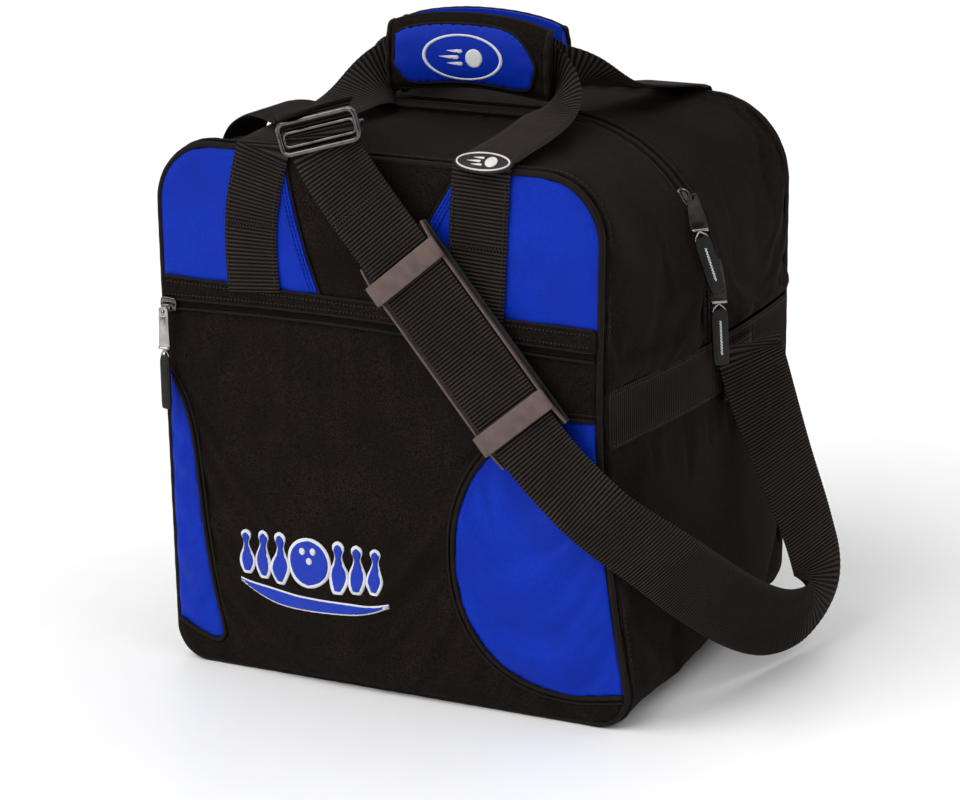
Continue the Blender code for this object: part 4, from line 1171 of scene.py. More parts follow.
def slider_set(prefix, place, tab_place, pull_turn, pull_lean, twist):
    """A slider with its bridge, a tapered tab, a wire link and the moulded pull with the white line down it."""
    body = [(-3.6, -5.6), (3.6, -5.6), (4.6, -1.5), (4.8, 3.2), (3.4, 5.8), (-3.4, 5.8), (-4.8, 3.2), (-4.6, -1.5)]
    outline = outline_of([(x * MM, y * MM) for x, y in body], 3, 0.7 * MM)
    base = plate(prefix + "_slider_plate", outline, 1.9 * MM, place @ Matrix.Translation((0, 0, 1.0 * MM)), METAL,
                 0.5 * MM)
    bridge = [place @ Vector((0, y * MM, z * MM)) for y, z in ((-4.2, 1.6), (-4.0, 3.2), (-2.4, 4.5), (0, 4.9),
                                                                (2.6, 4.4), (4.2, 3.0), (4.4, 1.6))]
    arm = tube(prefix + "_slider_bridge", dense(smooth_path(bridge, 4), 0.6 * MM), 1.05 * MM, METAL, False, 10,
               place.to_3x3() @ ACROSS)
    ride(join(prefix + "_slider_body", [base, arm]), prefix + "_slider", prefix + "_slider")
    metal = BRIGHT if prefix == "pocket" else GUNMETAL
    length = 27 * MM
    top, foot = 3.3 * MM, (4.0 * MM if prefix == "pocket" else 5.8 * MM)
    hang = tab_place @ Matrix.Translation((0, -length - PULL_GAP, 0))
    hang = hang @ Matrix.Rotation(math.radians(pull_turn), 4, "Z")
    hang = hang @ Matrix.Rotation(math.radians(pull_lean), 4, "X") @ Matrix.Rotation(math.radians(twist), 4, "Y")
    tab_place = tab_place @ Matrix.Rotation(math.radians(twist), 4, "Y")
    shape = [(-top, 0.8 * MM), (0, 1.9 * MM), (top, 0.8 * MM), (foot * 0.92, -length * 0.55), (foot, -length + 2 * MM),
             (foot * 0.7, -length), (-foot * 0.7, -length), (-foot, -length + 2 * MM), (-foot * 0.92, -length * 0.55)]
    shape = outline_of(shape, 4, 1.0 * MM)
    hole = oval(1.3 * MM, 1.3 * MM, 12, (0, -1.2 * MM))
    tab = plate(prefix + "_tab_plate", shape, 1.3 * MM, tab_place, metal, 0.3 * MM, hole)
    panel_shape = [(x * 0.74, -length * 0.55 + (y + length * 0.55) * 0.62) for x, y in shape]
    raised = plate(prefix + "_tab_panel", panel_shape, 1.7 * MM, tab_place, metal, 0.2 * MM)
    bar = tube(prefix + "_tab_bar", [tab_place @ Vector((x * foot, -length + 1.2 * MM, 0.9 * MM))
                                     for x in spread(-0.95, 0.95, 7)], 0.95 * MM, BRIGHT, False, 10,
               tab_place.to_3x3() @ UP)
    ride(join(prefix + "_tab_body", [tab, raised, bar]), prefix + "_tab", prefix + "_tab")
    wide = 3.5 * MM if prefix == "pocket" else 5.6 * MM
    long = 36.5 * MM
    right = [(wide * 0.62, 0), (wide, -3.5 * MM), (wide, -long * 0.5), (wide * 0.96, -long + 3 * MM),
             (wide * 0.6, -long)]
    left = [(-x, y) for x, y in reversed(right)]
    grip_shape = outline_of(left[-1:] + right + left[:-1], 4, 1.0 * MM)
    grip = plate(prefix + "_pull_grip", grip_shape, 2.8 * MM, hang, RUBBER, 0.8 * MM)
    inlay = [(x * 0.68, -long * 0.52 + (y + long * 0.5) * 0.8) for x, y in grip_shape]
    inset = plate(prefix + "_pull_inlay", inlay, 3.2 * MM, hang, RUBBER, 0.2 * MM)
    waves = []
    for side in (1, -1) if prefix != "pocket" else ():
        run = [hang @ Vector((0.5 * MM * math.sin(-y / (0.3 * MM)), y, side * 1.75 * MM))
               for y in spread(-7 * MM, -long + 7 * MM, 130)]
        waves.append(tube(f"{prefix}_wave_{side}", run, 0.45 * MM, WHITE, False, 5))
    ring = [(0, 4.2), (-wide / MM * 0.72, 0.4), (-wide / MM * 0.6, -1.6), (wide / MM * 0.6, -1.6),
            (wide / MM * 0.72, 0.4)]
    ring = [hang @ Vector((x * MM, y * MM, 0)) for x, y in ring]
    link = tube(prefix + "_pull_link", dense(smooth_path(ring + ring[:1], 5), 0.6 * MM), 0.62 * MM, BRIGHT, False, 8,
                hang.to_3x3() @ UP)
    ride(join(prefix + "_pull_body", [grip, inset, link] + waves), prefix + "_pull", prefix + "_pull")


def zip_frame(angle, forward, lift):
    """A frame on the opening's right corner: at an angle round it, forward of its middle and lifted off it."""
    x, z, radius = corner(1, 0.5, True)
    out = Vector((math.cos(angle), 0, math.sin(angle)))
    along = Vector((-math.sin(angle), 0, math.cos(angle)))
    origin = Vector((x, -forward, z)) + out * (radius + lift)
    return frame_matrix(origin, along.cross(out), along, out)


def sliders():
    for prefix, degrees, sideways, lean, pull_turn, pull_lean in (("upper", 35, -32, 4, 36, 14),
                                                                  ("lower", 13, -10, 5, 8, 4)):
        angle = math.radians(degrees)
        tab = zip_frame(angle, 4.8 * MM, 7.6 * MM) @ Matrix.Translation((0, -3 * MM, 0))
        tab = tab @ Matrix.Rotation(math.radians(sideways), 4, "Z")
        tab = tab @ Matrix.Rotation(math.radians(lean), 4, "X")
        slider_set(prefix, zip_frame(angle, 4.6 * MM, 1.2 * MM), tab, pull_turn, pull_lean, -45)
    x = -153 * MM
    face = Vector((x, upper_y(x, POCKET_ZIP) - 2.3 * MM, POCKET_ZIP))
    place = frame_matrix(face, ACROSS, UP, FORWARD)
    body = place @ Matrix.Rotation(math.pi / 2, 4, "Z")
    tab = place @ Matrix.Translation((-1.6 * MM, -3 * MM, 5.7 * MM))
    slider_set("pocket", body, tab, 0, 0, 0)


# ---------------------------------------------------------------- handles
def leg_middle(x, z):
    """A leg's middle at a height: the legs lean a little to the right."""
    return x + LEG_LEAN * (z - LEG_FOOT)


def bartack(name, place, width, height, body):
    """A dense zigzag of thread across the webbing, in a frame with X across it and Z out of it."""
    count = int(width / (1.15 * MM))
    run = []
    for k in range(count + 1):
        x = -width / 2 + width * k / count
        run.append(place @ Vector((x, height / 2 * (1 if k % 2 else -1), 0.25 * MM)))
    ride(tube(name, run, 0.34 * MM, THREAD_DARK, False, 5), body)


def leg_shift(end, x, z):
    """The front left leg bows: out in its middle and in at its top, where the strap draws it over."""
    if end == "rear" or x > 0:
        return 0.0
    f = (z - HEM_TOP) / (TOP - HEM_TOP)
    return (-3.4 * math.sin(math.pi * min(f * 1.15, 1.0)) + 4.2 * f ** 5) * MM


def sewn_leg(end, name, x, face, way, body):
    """A handle's leg: ribbed webbing up the face and over the edge, with its stitching."""
    low = HEM_TOP - 2 * MM
    knots = []
    for z in spread(low, TOP - 7 * MM, 7):
        middle = leg_middle(x, z) + leg_shift(end, x, z)
        knots.append((Vector((middle, face(middle, z) + way * 2.0 * MM, z)), ACROSS))
    top = leg_middle(x, TOP) + leg_shift(end, x, TOP)
    for y, z in ((149.9, 356.8), (147.9, 359.9), (144.6, 361.2), (141.0, 361.5)):
        knots.append((Vector((top, way * y * MM, z * MM)), ACROSS))
    wide = WEBBING if x > 0 or end == "rear" else WEBBING - 2 * MM
    leg = band(f"{name}_webbing", knots, wide, 1.9 * MM, LEG_WEB, 0.34 * MM, LEG_RIB, cols=11)
    ride(leg, body, name)
    runs = []
    for side in (-1, 1):
        run = []
        for z in spread(low + 3 * MM, TOP - 8 * MM, 30):
            middle = leg_middle(x, z) + leg_shift(end, x, z) + side * (wide / 2 - 2.2 * MM)
            run.append(Vector((middle, face(middle, z) + way * 3.35 * MM, z)))
        runs.append((run, (0, way, 0)))
    stitches(f"{name}_stitching", runs, body, 2.4 * MM, 1.0 * MM, 0.3 * MM)
    z = HEM_TOP + 0.46 * (TOP - HEM_TOP)
    middle = leg_middle(x, z) + leg_shift(end, x, z)
    place = frame_matrix(Vector((middle, face(middle, z) + way * 3.3 * MM, z)), ACROSS, UP, Vector((0, way, 0)))
    bartack(f"{name}_bartack", place, WEBBING - 3 * MM, 3.2 * MM, body)


def handle_loop(name, way, seams, rise):
    """A handle's webbing: out of the bag's top at two seams, and through the grip."""
    run = [(0, 139.6, 361, 0), (0.03, 125, 362.3 + 0.3 * rise, 0),
           (0.1, 85, 364.8 + 0.7 * rise, 0.02), (0.28, 48, 368.3 + rise, 0.06), (0.43, 26, 373.5 + rise, 0.25),
           (0.68, 10, 382 + 0.5 * rise, 0.65), (0.9, 4.8, 389, 0.95), (1, 4.5, 391.5, 1)]
    sides = []
    for seam, out in zip(seams, (-1, 1)):
        side = []
        for along, y, z, turn in run:
            drawn = leg_shift("front" if way < 0 else "rear", seam, TOP) * max(0.0, 1 - 4 * along)
            x = seam + drawn + (out * GRIP_HALF - seam) * along
            side.append((Vector((x, way * y * MM, z * MM)), Vector((1 - turn, 0, out * turn))))
        side.append((Vector((out * 40 * MM, way * 4.5 * MM, 397 * MM)), UP * out))
        sides.append(side)
    middle = [(Vector((0, way * 4.5 * MM, 401 * MM)), -UP)]
    far = [(point, -hint) for point, hint in reversed(sides[1])]
    body = "front_handle" if way < 0 else "rear_handle"
    loop = band(name + "_webbing", sides[0] + middle + far, WEBBING, 1.9 * MM, LEG_WEB, 0.34 * MM, LEG_RIB,
                skewed=True, cols=11)
    ride(loop, body, name)


def grip_surface(way, inner, outer, rows=72, turns=40):
    """A half of the padded grip: a plump sleeve, flat against the webbing, that droops and draws in at its ends."""
    grid = []
    for x in spread(-GRIP_HALF, GRIP_HALF, rows):
        f = x / GRIP_HALF
        droop = 7 * MM * f ** 2
        end = math.sqrt(max(0.0, 1 - (x / (GRIP_HALF * 1.06)) ** 6))
        middle, reach = GRIP_MIDDLE - droop, 24.5 * MM * (0.8 + 0.2 * end)
        row = []
        for k in range(turns + 1):
            a = math.pi / 2 - math.pi * k / turns
            out = inner + (outer - inner) * (0.55 + 0.45 * end) * abs(math.cos(a)) ** 0.55
            z = middle + reach * math.sin(a)
            fold = soft_folds(x * 1.5, z, way * 3 + 9, 26 * MM, 0.9 * MM)
            draw = 0.7 * MM * math.exp(-(GRIP_HALF - abs(x)) / (9 * MM)) * math.sin(a * 9 + f * 3)
            row.append(Vector((x, way * (out + (fold + draw) * abs(math.cos(a))), z)))
        grid.append(row)
    return grid


def grip_half(name, way, inner, outer, body, node, material):
    """A half of the grip with a binding at each end and a corded edge above and below."""
    grid = grip_surface(way, inner, outer)
    mesh = grid_mesh(name, [row + [row[0]] for row in grid])
    mend(mesh, 1e-6, True)
    ride(new_object(name, mesh, material, 60), body, node)
    for k, i in enumerate((0, len(grid) - 1)):
        path = dense([p + Vector((0, way * 0.4 * MM, 0)) for p in grid[i]], 1.6 * MM)
        ride(tube(f"{name}_binding_{k}", path, 1.9 * MM, CORD, False, 8), body)
    for k, j in ((0, 2), (1, len(grid[0]) - 3)):
        path = [row[j] + Vector((0, way * 0.3 * MM, 0)) for row in grid]
        cord(f"{name}_edge_{k}", path, 1.1 * MM, body, None, 2.2 * MM, (4, 0.08), count=7)
    return grid


def grip_flap(grid):
    """The grip's blue cloth, set inside a wide dark binding, with a stitched line round it."""
    def surface(x, z):
        return Vector((x, on_grip(grid, x, z), z)), FORWARD
    wide, high, cut = 51 * MM, 18.5 * MM, 13 * MM
    knots = [(-wide, -high + cut), (-wide, high - cut * 0.6), (-wide + cut * 0.5, high), (0, high + 1.5 * MM),
             (wide - cut * 1.2, high), (wide, high - cut * 1.1), (wide, -high + cut * 0.8),
             (wide - cut * 0.7, -high), (0, -high - 0.5 * MM), (-wide + cut, -high)]
    run = smooth_path([Vector((x - 1.5 * MM, z, 0)) for x, z in knots + knots[:1]], 6)[:-1]
    outline = []
    for p in run:
        droop = 7 * MM * (p.x / GRIP_HALF) ** 2
        outline.append((p.x, GRIP_MIDDLE - 1.5 * MM - droop + p.y))
    embroidered("grip_flap_cloth", outline, surface, 0.2 * MM, BLUE, "front_handle", 1.3 * MM, 1.3 * MM)
    path = [Vector((x, on_grip(grid, x, z) - 0.7 * MM, z)) for x, z in outline]
    cord("grip_flap_cord", path, 1.0 * MM, "front_handle", step=2 * MM, closed=True)


def on_grip(grid, x, z):
    """The point of the grip's outer face over a place in X and Z, by its nearest grid cell."""
    i = (x + GRIP_HALF) / (2 * GRIP_HALF) * (len(grid) - 1)
    i = min(max(i, 0), len(grid) - 1.001)
    row = int(i)
    best = None
    for r, share in ((row, 1 - (i - row)), (row + 1, i - row)):
        points = grid[r]
        for a, b in zip(points[1:-2], points[2:-1]):
            if (a.z - z) * (b.z - z) <= 0 and abs(a.z - b.z) > 1e-9:
                y = a.y + (b.y - a.y) * (z - a.z) / (b.z - a.z)
                best = (best or 0) + y * share
                break
    return best if best else points[len(points) // 2].y


def handles():
    for end, way, seams, face, rise, body in (("front", -1, FRONT_LEGS, upper_y, 0, "bag"),
                                              ("rear", 1, REAR_LEGS, back_y, 9, "lid")):
        for side, x in zip(("left", "right"), seams):
            sewn_leg(end, f"{end}_leg_{side}", x, face, way, body)
        handle_loop(end + "_handle_loop", way, [leg_middle(x, TOP) for x in seams], rise)
    grid = grip_half("grip_front_cover", -1, 7 * MM, 20.4 * MM, "front_handle", "grip_front_pad", BLACK)
    grip_flap(grid)
    grip_half("grip_rear_cover", 1, 7 * MM, 20 * MM, "rear_handle", "grip_rear_pad", BLUE)
    for name, way, body, node in (("grip_hook_tape", -1, "front_handle", "grip_hook_patch"),
                                  ("grip_loop_tape", 1, "rear_handle", "grip_loop_patch")):
        place = Matrix.Translation((0, way * 1.6 * MM, GRIP_MIDDLE))
        ride(block(name, (70 * MM, 1.8 * MM, 26 * MM), place, LINING, 0.5 * MM), body, node)
    grip_emblem(grid)
    badge()


def oval(wide, high, count=48, middle=(0, 0)):
    turns = [2 * math.pi * k / count for k in range(count)]
    return [(middle[0] + wide * math.cos(a), middle[1] + high * math.sin(a)) for a in turns]


def pin_outline(height):
    """A bowling pin's outline, from its foot round to its foot."""
    profile = ((0.0, 0.115), (0.03, 0.145), (0.14, 0.22), (0.28, 0.265), (0.42, 0.235), (0.55, 0.155),
               (0.66, 0.105), (0.74, 0.105), (0.83, 0.15), (0.91, 0.15), (0.97, 0.09), (1.0, 0.0))
    run = smooth_path([Vector((w, h, 0)) for h, w in profile], 3)
    right = [(p.x * height * 0.72, (p.y - 0.5) * height) for p in run]
    return right + [(-x, y) for x, y in reversed(right[:-1])]


def embroidered(name, outline, surface, rise, material, body, cells=1.0 * MM, thick=0.5 * MM, hole=None):
    """A patch of satin stitches that lies on a surface: surface(x, z) gives its place."""
    bm = bmesh.new()
    edges = loops_of(bm, outline, hole, 0)
    bmesh.ops.triangle_fill(bm, use_beauty=True, use_dissolve=False, edges=edges)
    for _ in range(6):
        long = [e for e in bm.edges if e.calc_length() > 2.2 * cells and not e.is_boundary]
        if not long:
            break
        bmesh.ops.subdivide_edges(bm, edges=long, cuts=1)
        bmesh.ops.triangulate(bm, faces=bm.faces)
        bmesh.ops.beautify_fill(bm, faces=bm.faces, edges=[e for e in bm.edges if not e.is_boundary])
    mesh = bpy.data.meshes.new(name)
    bm.normal_update()
    for v in bm.verts:
        edge = 0.0 if v.is_boundary else 1.0
        place = surface(v.co.x, v.co.y)
        v.co = place[0] + place[1] * (rise + thick * edge)
    bm.normal_update()
    bmesh.ops.reverse_faces(bm, faces=[f for f in bm.faces if f.normal.y > 0])
    bm.to_mesh(mesh)
    bm.free()
    lay_uv(mesh, lambda v: (mesh.vertices[v].co.x, mesh.vertices[v].co.z))
    obj = new_object(name, mesh, material)
    thicken(obj, 0.4 * MM)
    return ride(obj, body)


def speed_line(x, y, length, thick):
    """A sliver that tapers away to the left."""
    return [(x - length, y), (x - length * 0.3, y + thick * 0.45), (x, y + thick * 0.5), (x + thick * 0.4, y),
            (x, y - thick * 0.5), (x - length * 0.3, y - thick * 0.45)]


def rolling_ball(size):
    """A ball and the lines behind it, as outlines: a size of 1 is 36 mm wide."""
    lines = ((-0.5, 4.4, 12, 2.6), (-3.4, 0, 15, 2.8), (-0.5, -4.4, 12, 2.6))
    shapes = [oval(6.6, 6.6, 40, (9, 0))] + [speed_line(*line) for line in lines]
    return [[(x * size * MM, y * size * MM) for x, y in shape] for shape in shapes]


def grip_emblem(grid):
    """A ring, thicker at its ends, round a rolling ball."""
    def surface(x, z):
        x, z = x - 1 * MM, z + 400.5 * MM
        return Vector((x, on_grip(grid, x, z), z)), FORWARD
    outer, inner = oval(29.5 * MM, 15.5 * MM, 84), oval(27.0 * MM, 14.1 * MM, 84)
    embroidered("grip_emblem_ring", outer, surface, 1.55 * MM, WHITE, "front_handle", hole=inner)
    for k, shape in enumerate(rolling_ball(0.95)):
        embroidered(f"grip_emblem_{k}", shape, surface, 1.55 * MM, WHITE, "front_handle", 0.8 * MM)


def badge():
    """The moulded oval at the handle's right leg, with its ring and its rolling ball."""
    out = Vector((0, -0.62, 0.785)).normalized()
    up = Vector((0, out.z, -out.y))
    seat = Vector((leg_middle(FRONT_LEGS[1], TOP) + 2 * MM, FRONT - 5.8 * MM, 361.5 * MM))
    place = frame_matrix(seat, ACROSS, up, out)
    base = plate("badge_base", oval(20 * MM, 8.5 * MM, 60), 2.4 * MM, place, RUBBER, 0.8 * MM)
    pieces = [base]
    ring = [place @ Vector((x, y, 1.15 * MM)) for x, y in oval(17.9 * MM, 6.9 * MM, 64)]
    pieces.append(tube("badge_ring", ring, 0.6 * MM, WHITE_RUBBER, True, 8, out))
    for k, shape in enumerate(rolling_ball(0.62)):
        pieces.append(plate(f"badge_mark_{k}", shape, 0.7 * MM, place @ Matrix.Translation((0, 0, 1.2 * MM)),
                            WHITE_RUBBER, 0.15 * MM))
    ride(join("badge_moulding", pieces), "bag", "handle_badge")


# ---------------------------------------------------------------- shoulder strap
def knots_of(places):
    return [(Vector(point) * MM, Vector(side)) for point, side in places]


def glide_across():
    return GLIDE_RUN.cross(Vector((0, 1, 0)))


def strap_across():
    return (STRAP_END - STRAP_START).normalized().cross(Vector((0, 1, 0)))


def strap_top():
    """From the left anchor over the shoulder and the handle's leg to the tri-glide, in two lengths that meet."""
    places = [((-175.2, 36, 212), (0, 1, 0)), ((-178, 30, 240), (0, 1, 0)), ((-177, 10, 272), (0, 1, 0)),
              ((-172, -16, 304), (0, 1, 0.1)), ((-157, -42, 336), (0.1, 0.98, 0.15)),
              ((-135, -62, 358), (0.2, 0.97, 0.1)), ((-112, -77, 368), (0.25, 0.96, 0.05)),
              ((-90, -92, 371), (0.3, 0.95, 0.05)), ((-70, -110, 374), (0.4, 0.9, 0.1)),
              ((-54, -130, 379), (0.6, 0.75, 0.15)), ((-43, -149, 386), (0.85, 0.45, 0.2))]
    knots = knots_of(places) + [(GLIDE - GLIDE_RUN * 14 * MM, glide_across())]
    path = smooth_path([point for point, _ in knots], 12)
    hints = smooth_path([side for _, side in knots], 12)
    cut = 7 * 12
    first = list(zip(path[:cut + 1], hints[:cut + 1]))[::4]
    second = list(zip(path[cut:], hints[cut:]))[::4]
    lap = (path[cut] - path[cut - 12]).normalized() * 6 * MM
    second = [(path[cut] - lap + Vector((0, 0, 0.2 * MM)), hints[cut])] + second[1:]
    rear = band("strap_top_rear", first, STRAP, 1.6 * MM, PLAIN_WEB, 0.16 * MM, 2.3 * MM, cols=15, bow=0.9 * MM)
    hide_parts("shoulder_strap_top")
    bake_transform(rear)
    fore = band("strap_top_fore", second, STRAP, 1.6 * MM, PLAIN_WEB, 0.16 * MM, 2.3 * MM, cols=15, bow=0.9 * MM)
    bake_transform(fore)


def strap_straight(steps):
    """The strap's line from steps past the tri-glide to the end of its straight run."""
    glide = [(GLIDE + GLIDE_RUN * at * MM, glide_across()) for at in steps]
    return glide + [(STRAP_START.lerp(STRAP_END, f), strap_across()) for f in (0, 0.33, 0.67, 1)]


def strap_low():
    """From the tri-glide down the front, back round the right side and up to its fold, with the return under it."""
    places = [((138, -164, 166), (0.74, 0, 0.67)), ((164, -160, 143), (0.72, 0.05, 0.7)),
              ((190, -132, 113), (0.62, 0.15, 0.75)), ((203, -92, 82), (0.5, 0.25, 0.8)),
              ((214, -48, 53), (0.4, 0.3, 0.85)), ((222, -6, 35), (0.3, 0, 0.95)),
              ((228, 30, 33), (0.1, -0.5, 0.8)), ((229, 47, 52), (-0.3, -0.9, 0.3)),
              ((223, 44, 84), (-0.34, -0.94, 0)), ((209, 32, 136), (-0.44, -0.9, 0)),
              ((198, 22, 178), (-0.57, -0.82, 0)), ((191.5, 15.5, 207), (-0.6, -0.8, 0)),
              ((188.2, 16.5, 215.5), (-0.57, -0.82, 0)), ((183.8, 21.5, 213.6), (-0.4, -0.91, 0)),
              ((180, 30, 203), (-0.1, -1, 0)), ((178.8, 35, 188), (0, -1, 0))]
    knots = strap_straight((-13, 0, 13)) + knots_of(places)
    ride(band("strap_low_webbing", knots, STRAP, 1.6 * MM, RIBBED, 0.34 * MM, RIB, cols=15, bow=0.5 * MM), "bag",
         "shoulder_strap_low")
    ride(band("strap_return_webbing", strap_straight((-9, 0, 13)), STRAP - 1 * MM, 1.4 * MM, RIBBED, 0.25 * MM, RIB,
              offset=-1.9 * MM, cols=13), "bag", "shoulder_strap_return")
    place = strap_frame(STRAP_START.lerp(STRAP_END, 0.05), STRAP_END - STRAP_START, 1.2 * MM)
    bartack("strap_return_bartack", place, STRAP - 4 * MM, 3 * MM, "bag")


def strap_frame(origin, run, lift):
    along = -run.normalized()
    return frame_matrix(origin + FORWARD * lift, along.cross(FORWARD), along, FORWARD)


def tri_glide():
    """The adjuster's bent wire frame and the bar that the strap doubles round."""
    place = strap_frame(GLIDE, GLIDE_RUN, 3.7 * MM)
    loop = [Vector((x, y, 0)) for x, y in rounded_rectangle(57 * MM, 20 * MM, 5 * MM)]
    path = dense([place @ Vector((p.x, p.y, 0.9 * MM * (1 - (p.x / (29 * MM)) ** 2))) for p in loop], 1.5 * MM, True)
    ride(tube("tri_glide_wire", path, 1.75 * MM, METAL, True, 14), "tri_glide", "tri_glide_frame")
    inner = [Vector((x, y, 0)) for x, y in rounded_rectangle(53 * MM, 9 * MM, 3.5 * MM)]
    path = dense([place @ Vector((p.x, p.y - 1 * MM, -1.2 * MM)) for p in inner], 1.5 * MM, True)
    rise = tube("tri_glide_inner", path, 1.15 * MM, METAL, True, 12)
    place = strap_frame(GLIDE, GLIDE_RUN, -5.2 * MM)
    reach = 27.4 * MM
    knots = [Vector(p) for p in ((-reach, 0, 5 * MM), (-reach, 0, 1.5 * MM), (-reach + 1.5 * MM, 0, 0), (0, 0, 0),
                                 (reach - 1.5 * MM, 0, 0), (reach, 0, 1.5 * MM), (reach, 0, 5 * MM))]
    along = (place.to_3x3() @ Vector((0, 1, 0))).normalized()
    bar = tube("tri_glide_cross", [place @ p for p in smooth_path(knots, 4)], 1.3 * MM, METAL, False, 12, along)
    ride(join("tri_glide_rod", [bar, rise]), "tri_glide", "tri_glide_bar")


def shoulder_pad():
    """The moulded pad: its base behind the strap, raised rims along it, and a bar over each end."""
    half = 30 * MM
    place = strap_frame(STRAP_START.lerp(STRAP_END, PAD_AT), STRAP_END - STRAP_START, 0)
    base = block("shoulder_pad_base", (2 * half, PAD_LENGTH + 22 * MM, 2.2 * MM),
                 place @ Matrix.Translation((0, 0, -4.5 * MM)), RUBBER, 0.9 * MM)
    rims = []
    for side in (-1, 1):
        run = []
        length = PAD_LENGTH / 2 + 11 * MM
        for y in spread(-length, length, 80):
            drop = 3.2 * MM * max(0.0, (abs(y) - length + 9 * MM) / (9 * MM)) ** 2
            run.append(place @ Vector((side * 27.9 * MM, y, 0.4 * MM - drop)))
        rims.append(band(f"pad_rim_{side}", [(p, place.to_3x3() @ ACROSS) for p in run[::8] + run[-1:]],
                         1.7 * MM, 2.6 * MM, GREY, cols=7, spacing=2 * MM))
    ride(join("shoulder_pad_moulding", [base] + rims), "shoulder_pad", "shoulder_pad")
    for name, y in (("upper", PAD_LENGTH / 2 - 8 * MM), ("lower", 8 * MM - PAD_LENGTH / 2)):
        bar = place @ Matrix.Translation((0, y, 3.1 * MM))
        cover = block(f"pad_bar_{name}", (2 * half + 1 * MM, 14.5 * MM, 2.4 * MM), bar, GREY, 0.9 * MM, 4)
        groove = []
        for side in (-1, 1):
            groove.append(block(f"pad_bar_{name}_end_{side}", (4.4 * MM, 13.0 * MM, 2.9 * MM),
                                bar @ Matrix.Translation((side * (half - 2.4 * MM), 0, 0)), GREY, 0.8 * MM, 3))
        ride(join(f"shoulder_pad_{name}_clip", [cover] + groove), "shoulder_pad", f"shoulder_pad_bar_{name}")


# ---------------------------------------------------------------- bands and inside
def seat(side, y, z, lift):
    """A place on the gusset's side, lifted off it."""
    return Vector((side * (half_width(side, z, depth_fraction(y)) + lift), y, z))


def side_bands():
    """The webbing round each side, over the seam between the gusset's strips."""
    for name, side in (("side_band_left", -1), ("side_band_right", 1)):
        start, end = FRONT + 5.8 * MM, BACK - 5.8 * MM
        knots = []
        for y in spread(start, end, 24):
            a, b = (seat(side, y, BAND_HEIGHT + way * SIDE_BAND / 2, 0) for way in (-1, 1))
            knots.append(((a + b) / 2 + Vector((side * 1.2 * MM, 0, 0)), (b - a) * side))
        ride(band(f"{name}_webbing", knots, SIDE_BAND, 1.5 * MM, RIBBED, 0.34 * MM, RIB, cols=11), "bag", name)
        runs = []
        for rise in (-1, 1):
            z = BAND_HEIGHT + rise * (SIDE_BAND / 2 - 2.4 * MM)
            runs.append(([seat(side, y, z, 2.35 * MM) for y in spread(start + 2 * MM, end - 2 * MM, 60)],
                         (side, 0, 0)))
        for y in (4 * MM, 66 * MM):
            runs.append(([seat(side, y, z, 2.35 * MM)
                          for z in spread(BAND_HEIGHT - 16 * MM, BAND_HEIGHT + 16 * MM, 8)], (side, 0, 0)))
        stitches(f"{name}_stitching", runs, "bag")
        anchor(name.replace("side_band", "strap_anchor"), side)


def anchor(name, side):
    """The strap's sewn end: a folded tab of webbing on the band with a cross of stitches."""
    knots = [(seat(side, ANCHOR_MIDDLE, z * MM, lift * MM), FORWARD * side)
             for z, lift in ((176, 3.0), (186, 3.2), (196, 3.4), (206, 3.5), (214, 3.6))]
    ride(band(f"{name}_webbing", knots, STRAP - 2 * MM, 1.4 * MM, RIBBED, 0.3 * MM, RIB, cols=13), "bag")
    runs = []
    low, high, reach = 179 * MM, 209 * MM, 21 * MM
    corners = [(-reach, low), (reach, low), (reach, high), (-reach, high), (-reach, low)]
    lines = list(zip(corners, corners[1:])) + [((-reach, low), (reach, high)), ((-reach, high), (reach, low))]
    for (ya, za), (yb, zb) in lines:
        run = []
        for f in spread(0, 1, 8):
            z = za + (zb - za) * f
            run.append(seat(side, ANCHOR_MIDDLE, z, 4.55 * MM) + Vector((0, ya + (yb - ya) * f, 0)))
        runs.append((run, (side, 0, 0)))
    stitches(f"{name}_stitching", runs, "bag", 2.6 * MM, 1.0 * MM, 0.3 * MM)


def interior():
    """The stiff base under its cloth, and the foam cup that holds the ball."""
    outline = rounded_rectangle(260 * MM, DEPTH - 16 * MM, 14 * MM)
    ride(plate("base_board_cover", outline, 2.6 * MM, Matrix.Translation((0, 0, 5.65 * MM)), LINING, 0.8 * MM),
         "bag", "base_board")
    profile = [(56, 0.3), (95, 0.3), (96, 1.5), (96, 29), (95.2, 30.2), (85.5, 33.6), (83, 33.6), (76.6, 30.6),
               (75.4, 29)]
    low = 7.3 * MM
    grid = []
    for k in range(96):
        a = 2 * math.pi * k / 96
        turn = Vector((math.cos(a), math.sin(a), 0))
        row = []
        for r, z in profile + profile[:1]:
            rough = 0.5 * MM * noise.noise(Vector((r * math.cos(a) / 9, r * math.sin(a) / 9, z / 9)))
            row.append(turn * (r * MM + rough) + Vector((0, 0, low + z * MM)))
        grid.append(row)
    mesh = grid_mesh("ball_cup_foam", grid, True)
    mend(mesh, 1e-6)
    ride(new_object("ball_cup_foam", mesh, CUP_FOAM, 35), "bag", "ball_cup")
    fold = [Vector((x, BACK - 1 * MM, SPLIT)) for x in spread(-152 * MM, 154 * MM, 20)]
    ride(tube("lid_fold_binding", fold, 1.5 * MM, CORD, False, 8), "bag")


# ---------------------------------------------------------------- emblem
def front_of(obj):
    """The foremost face of a piece over a place in X and Z, found by a ray from the front."""
    bpy.context.view_layer.update()
    tree = BVHTree.FromObject(obj, bpy.context.evaluated_depsgraph_get())

    def surface(x, z):
        hit = tree.ray_cast(Vector((x, FRONT - 0.1, z)), Vector((0, 1, 0)))[0]
        return (hit if hit else Vector((x, pocket_y(x, z), z))), FORWARD
    return surface


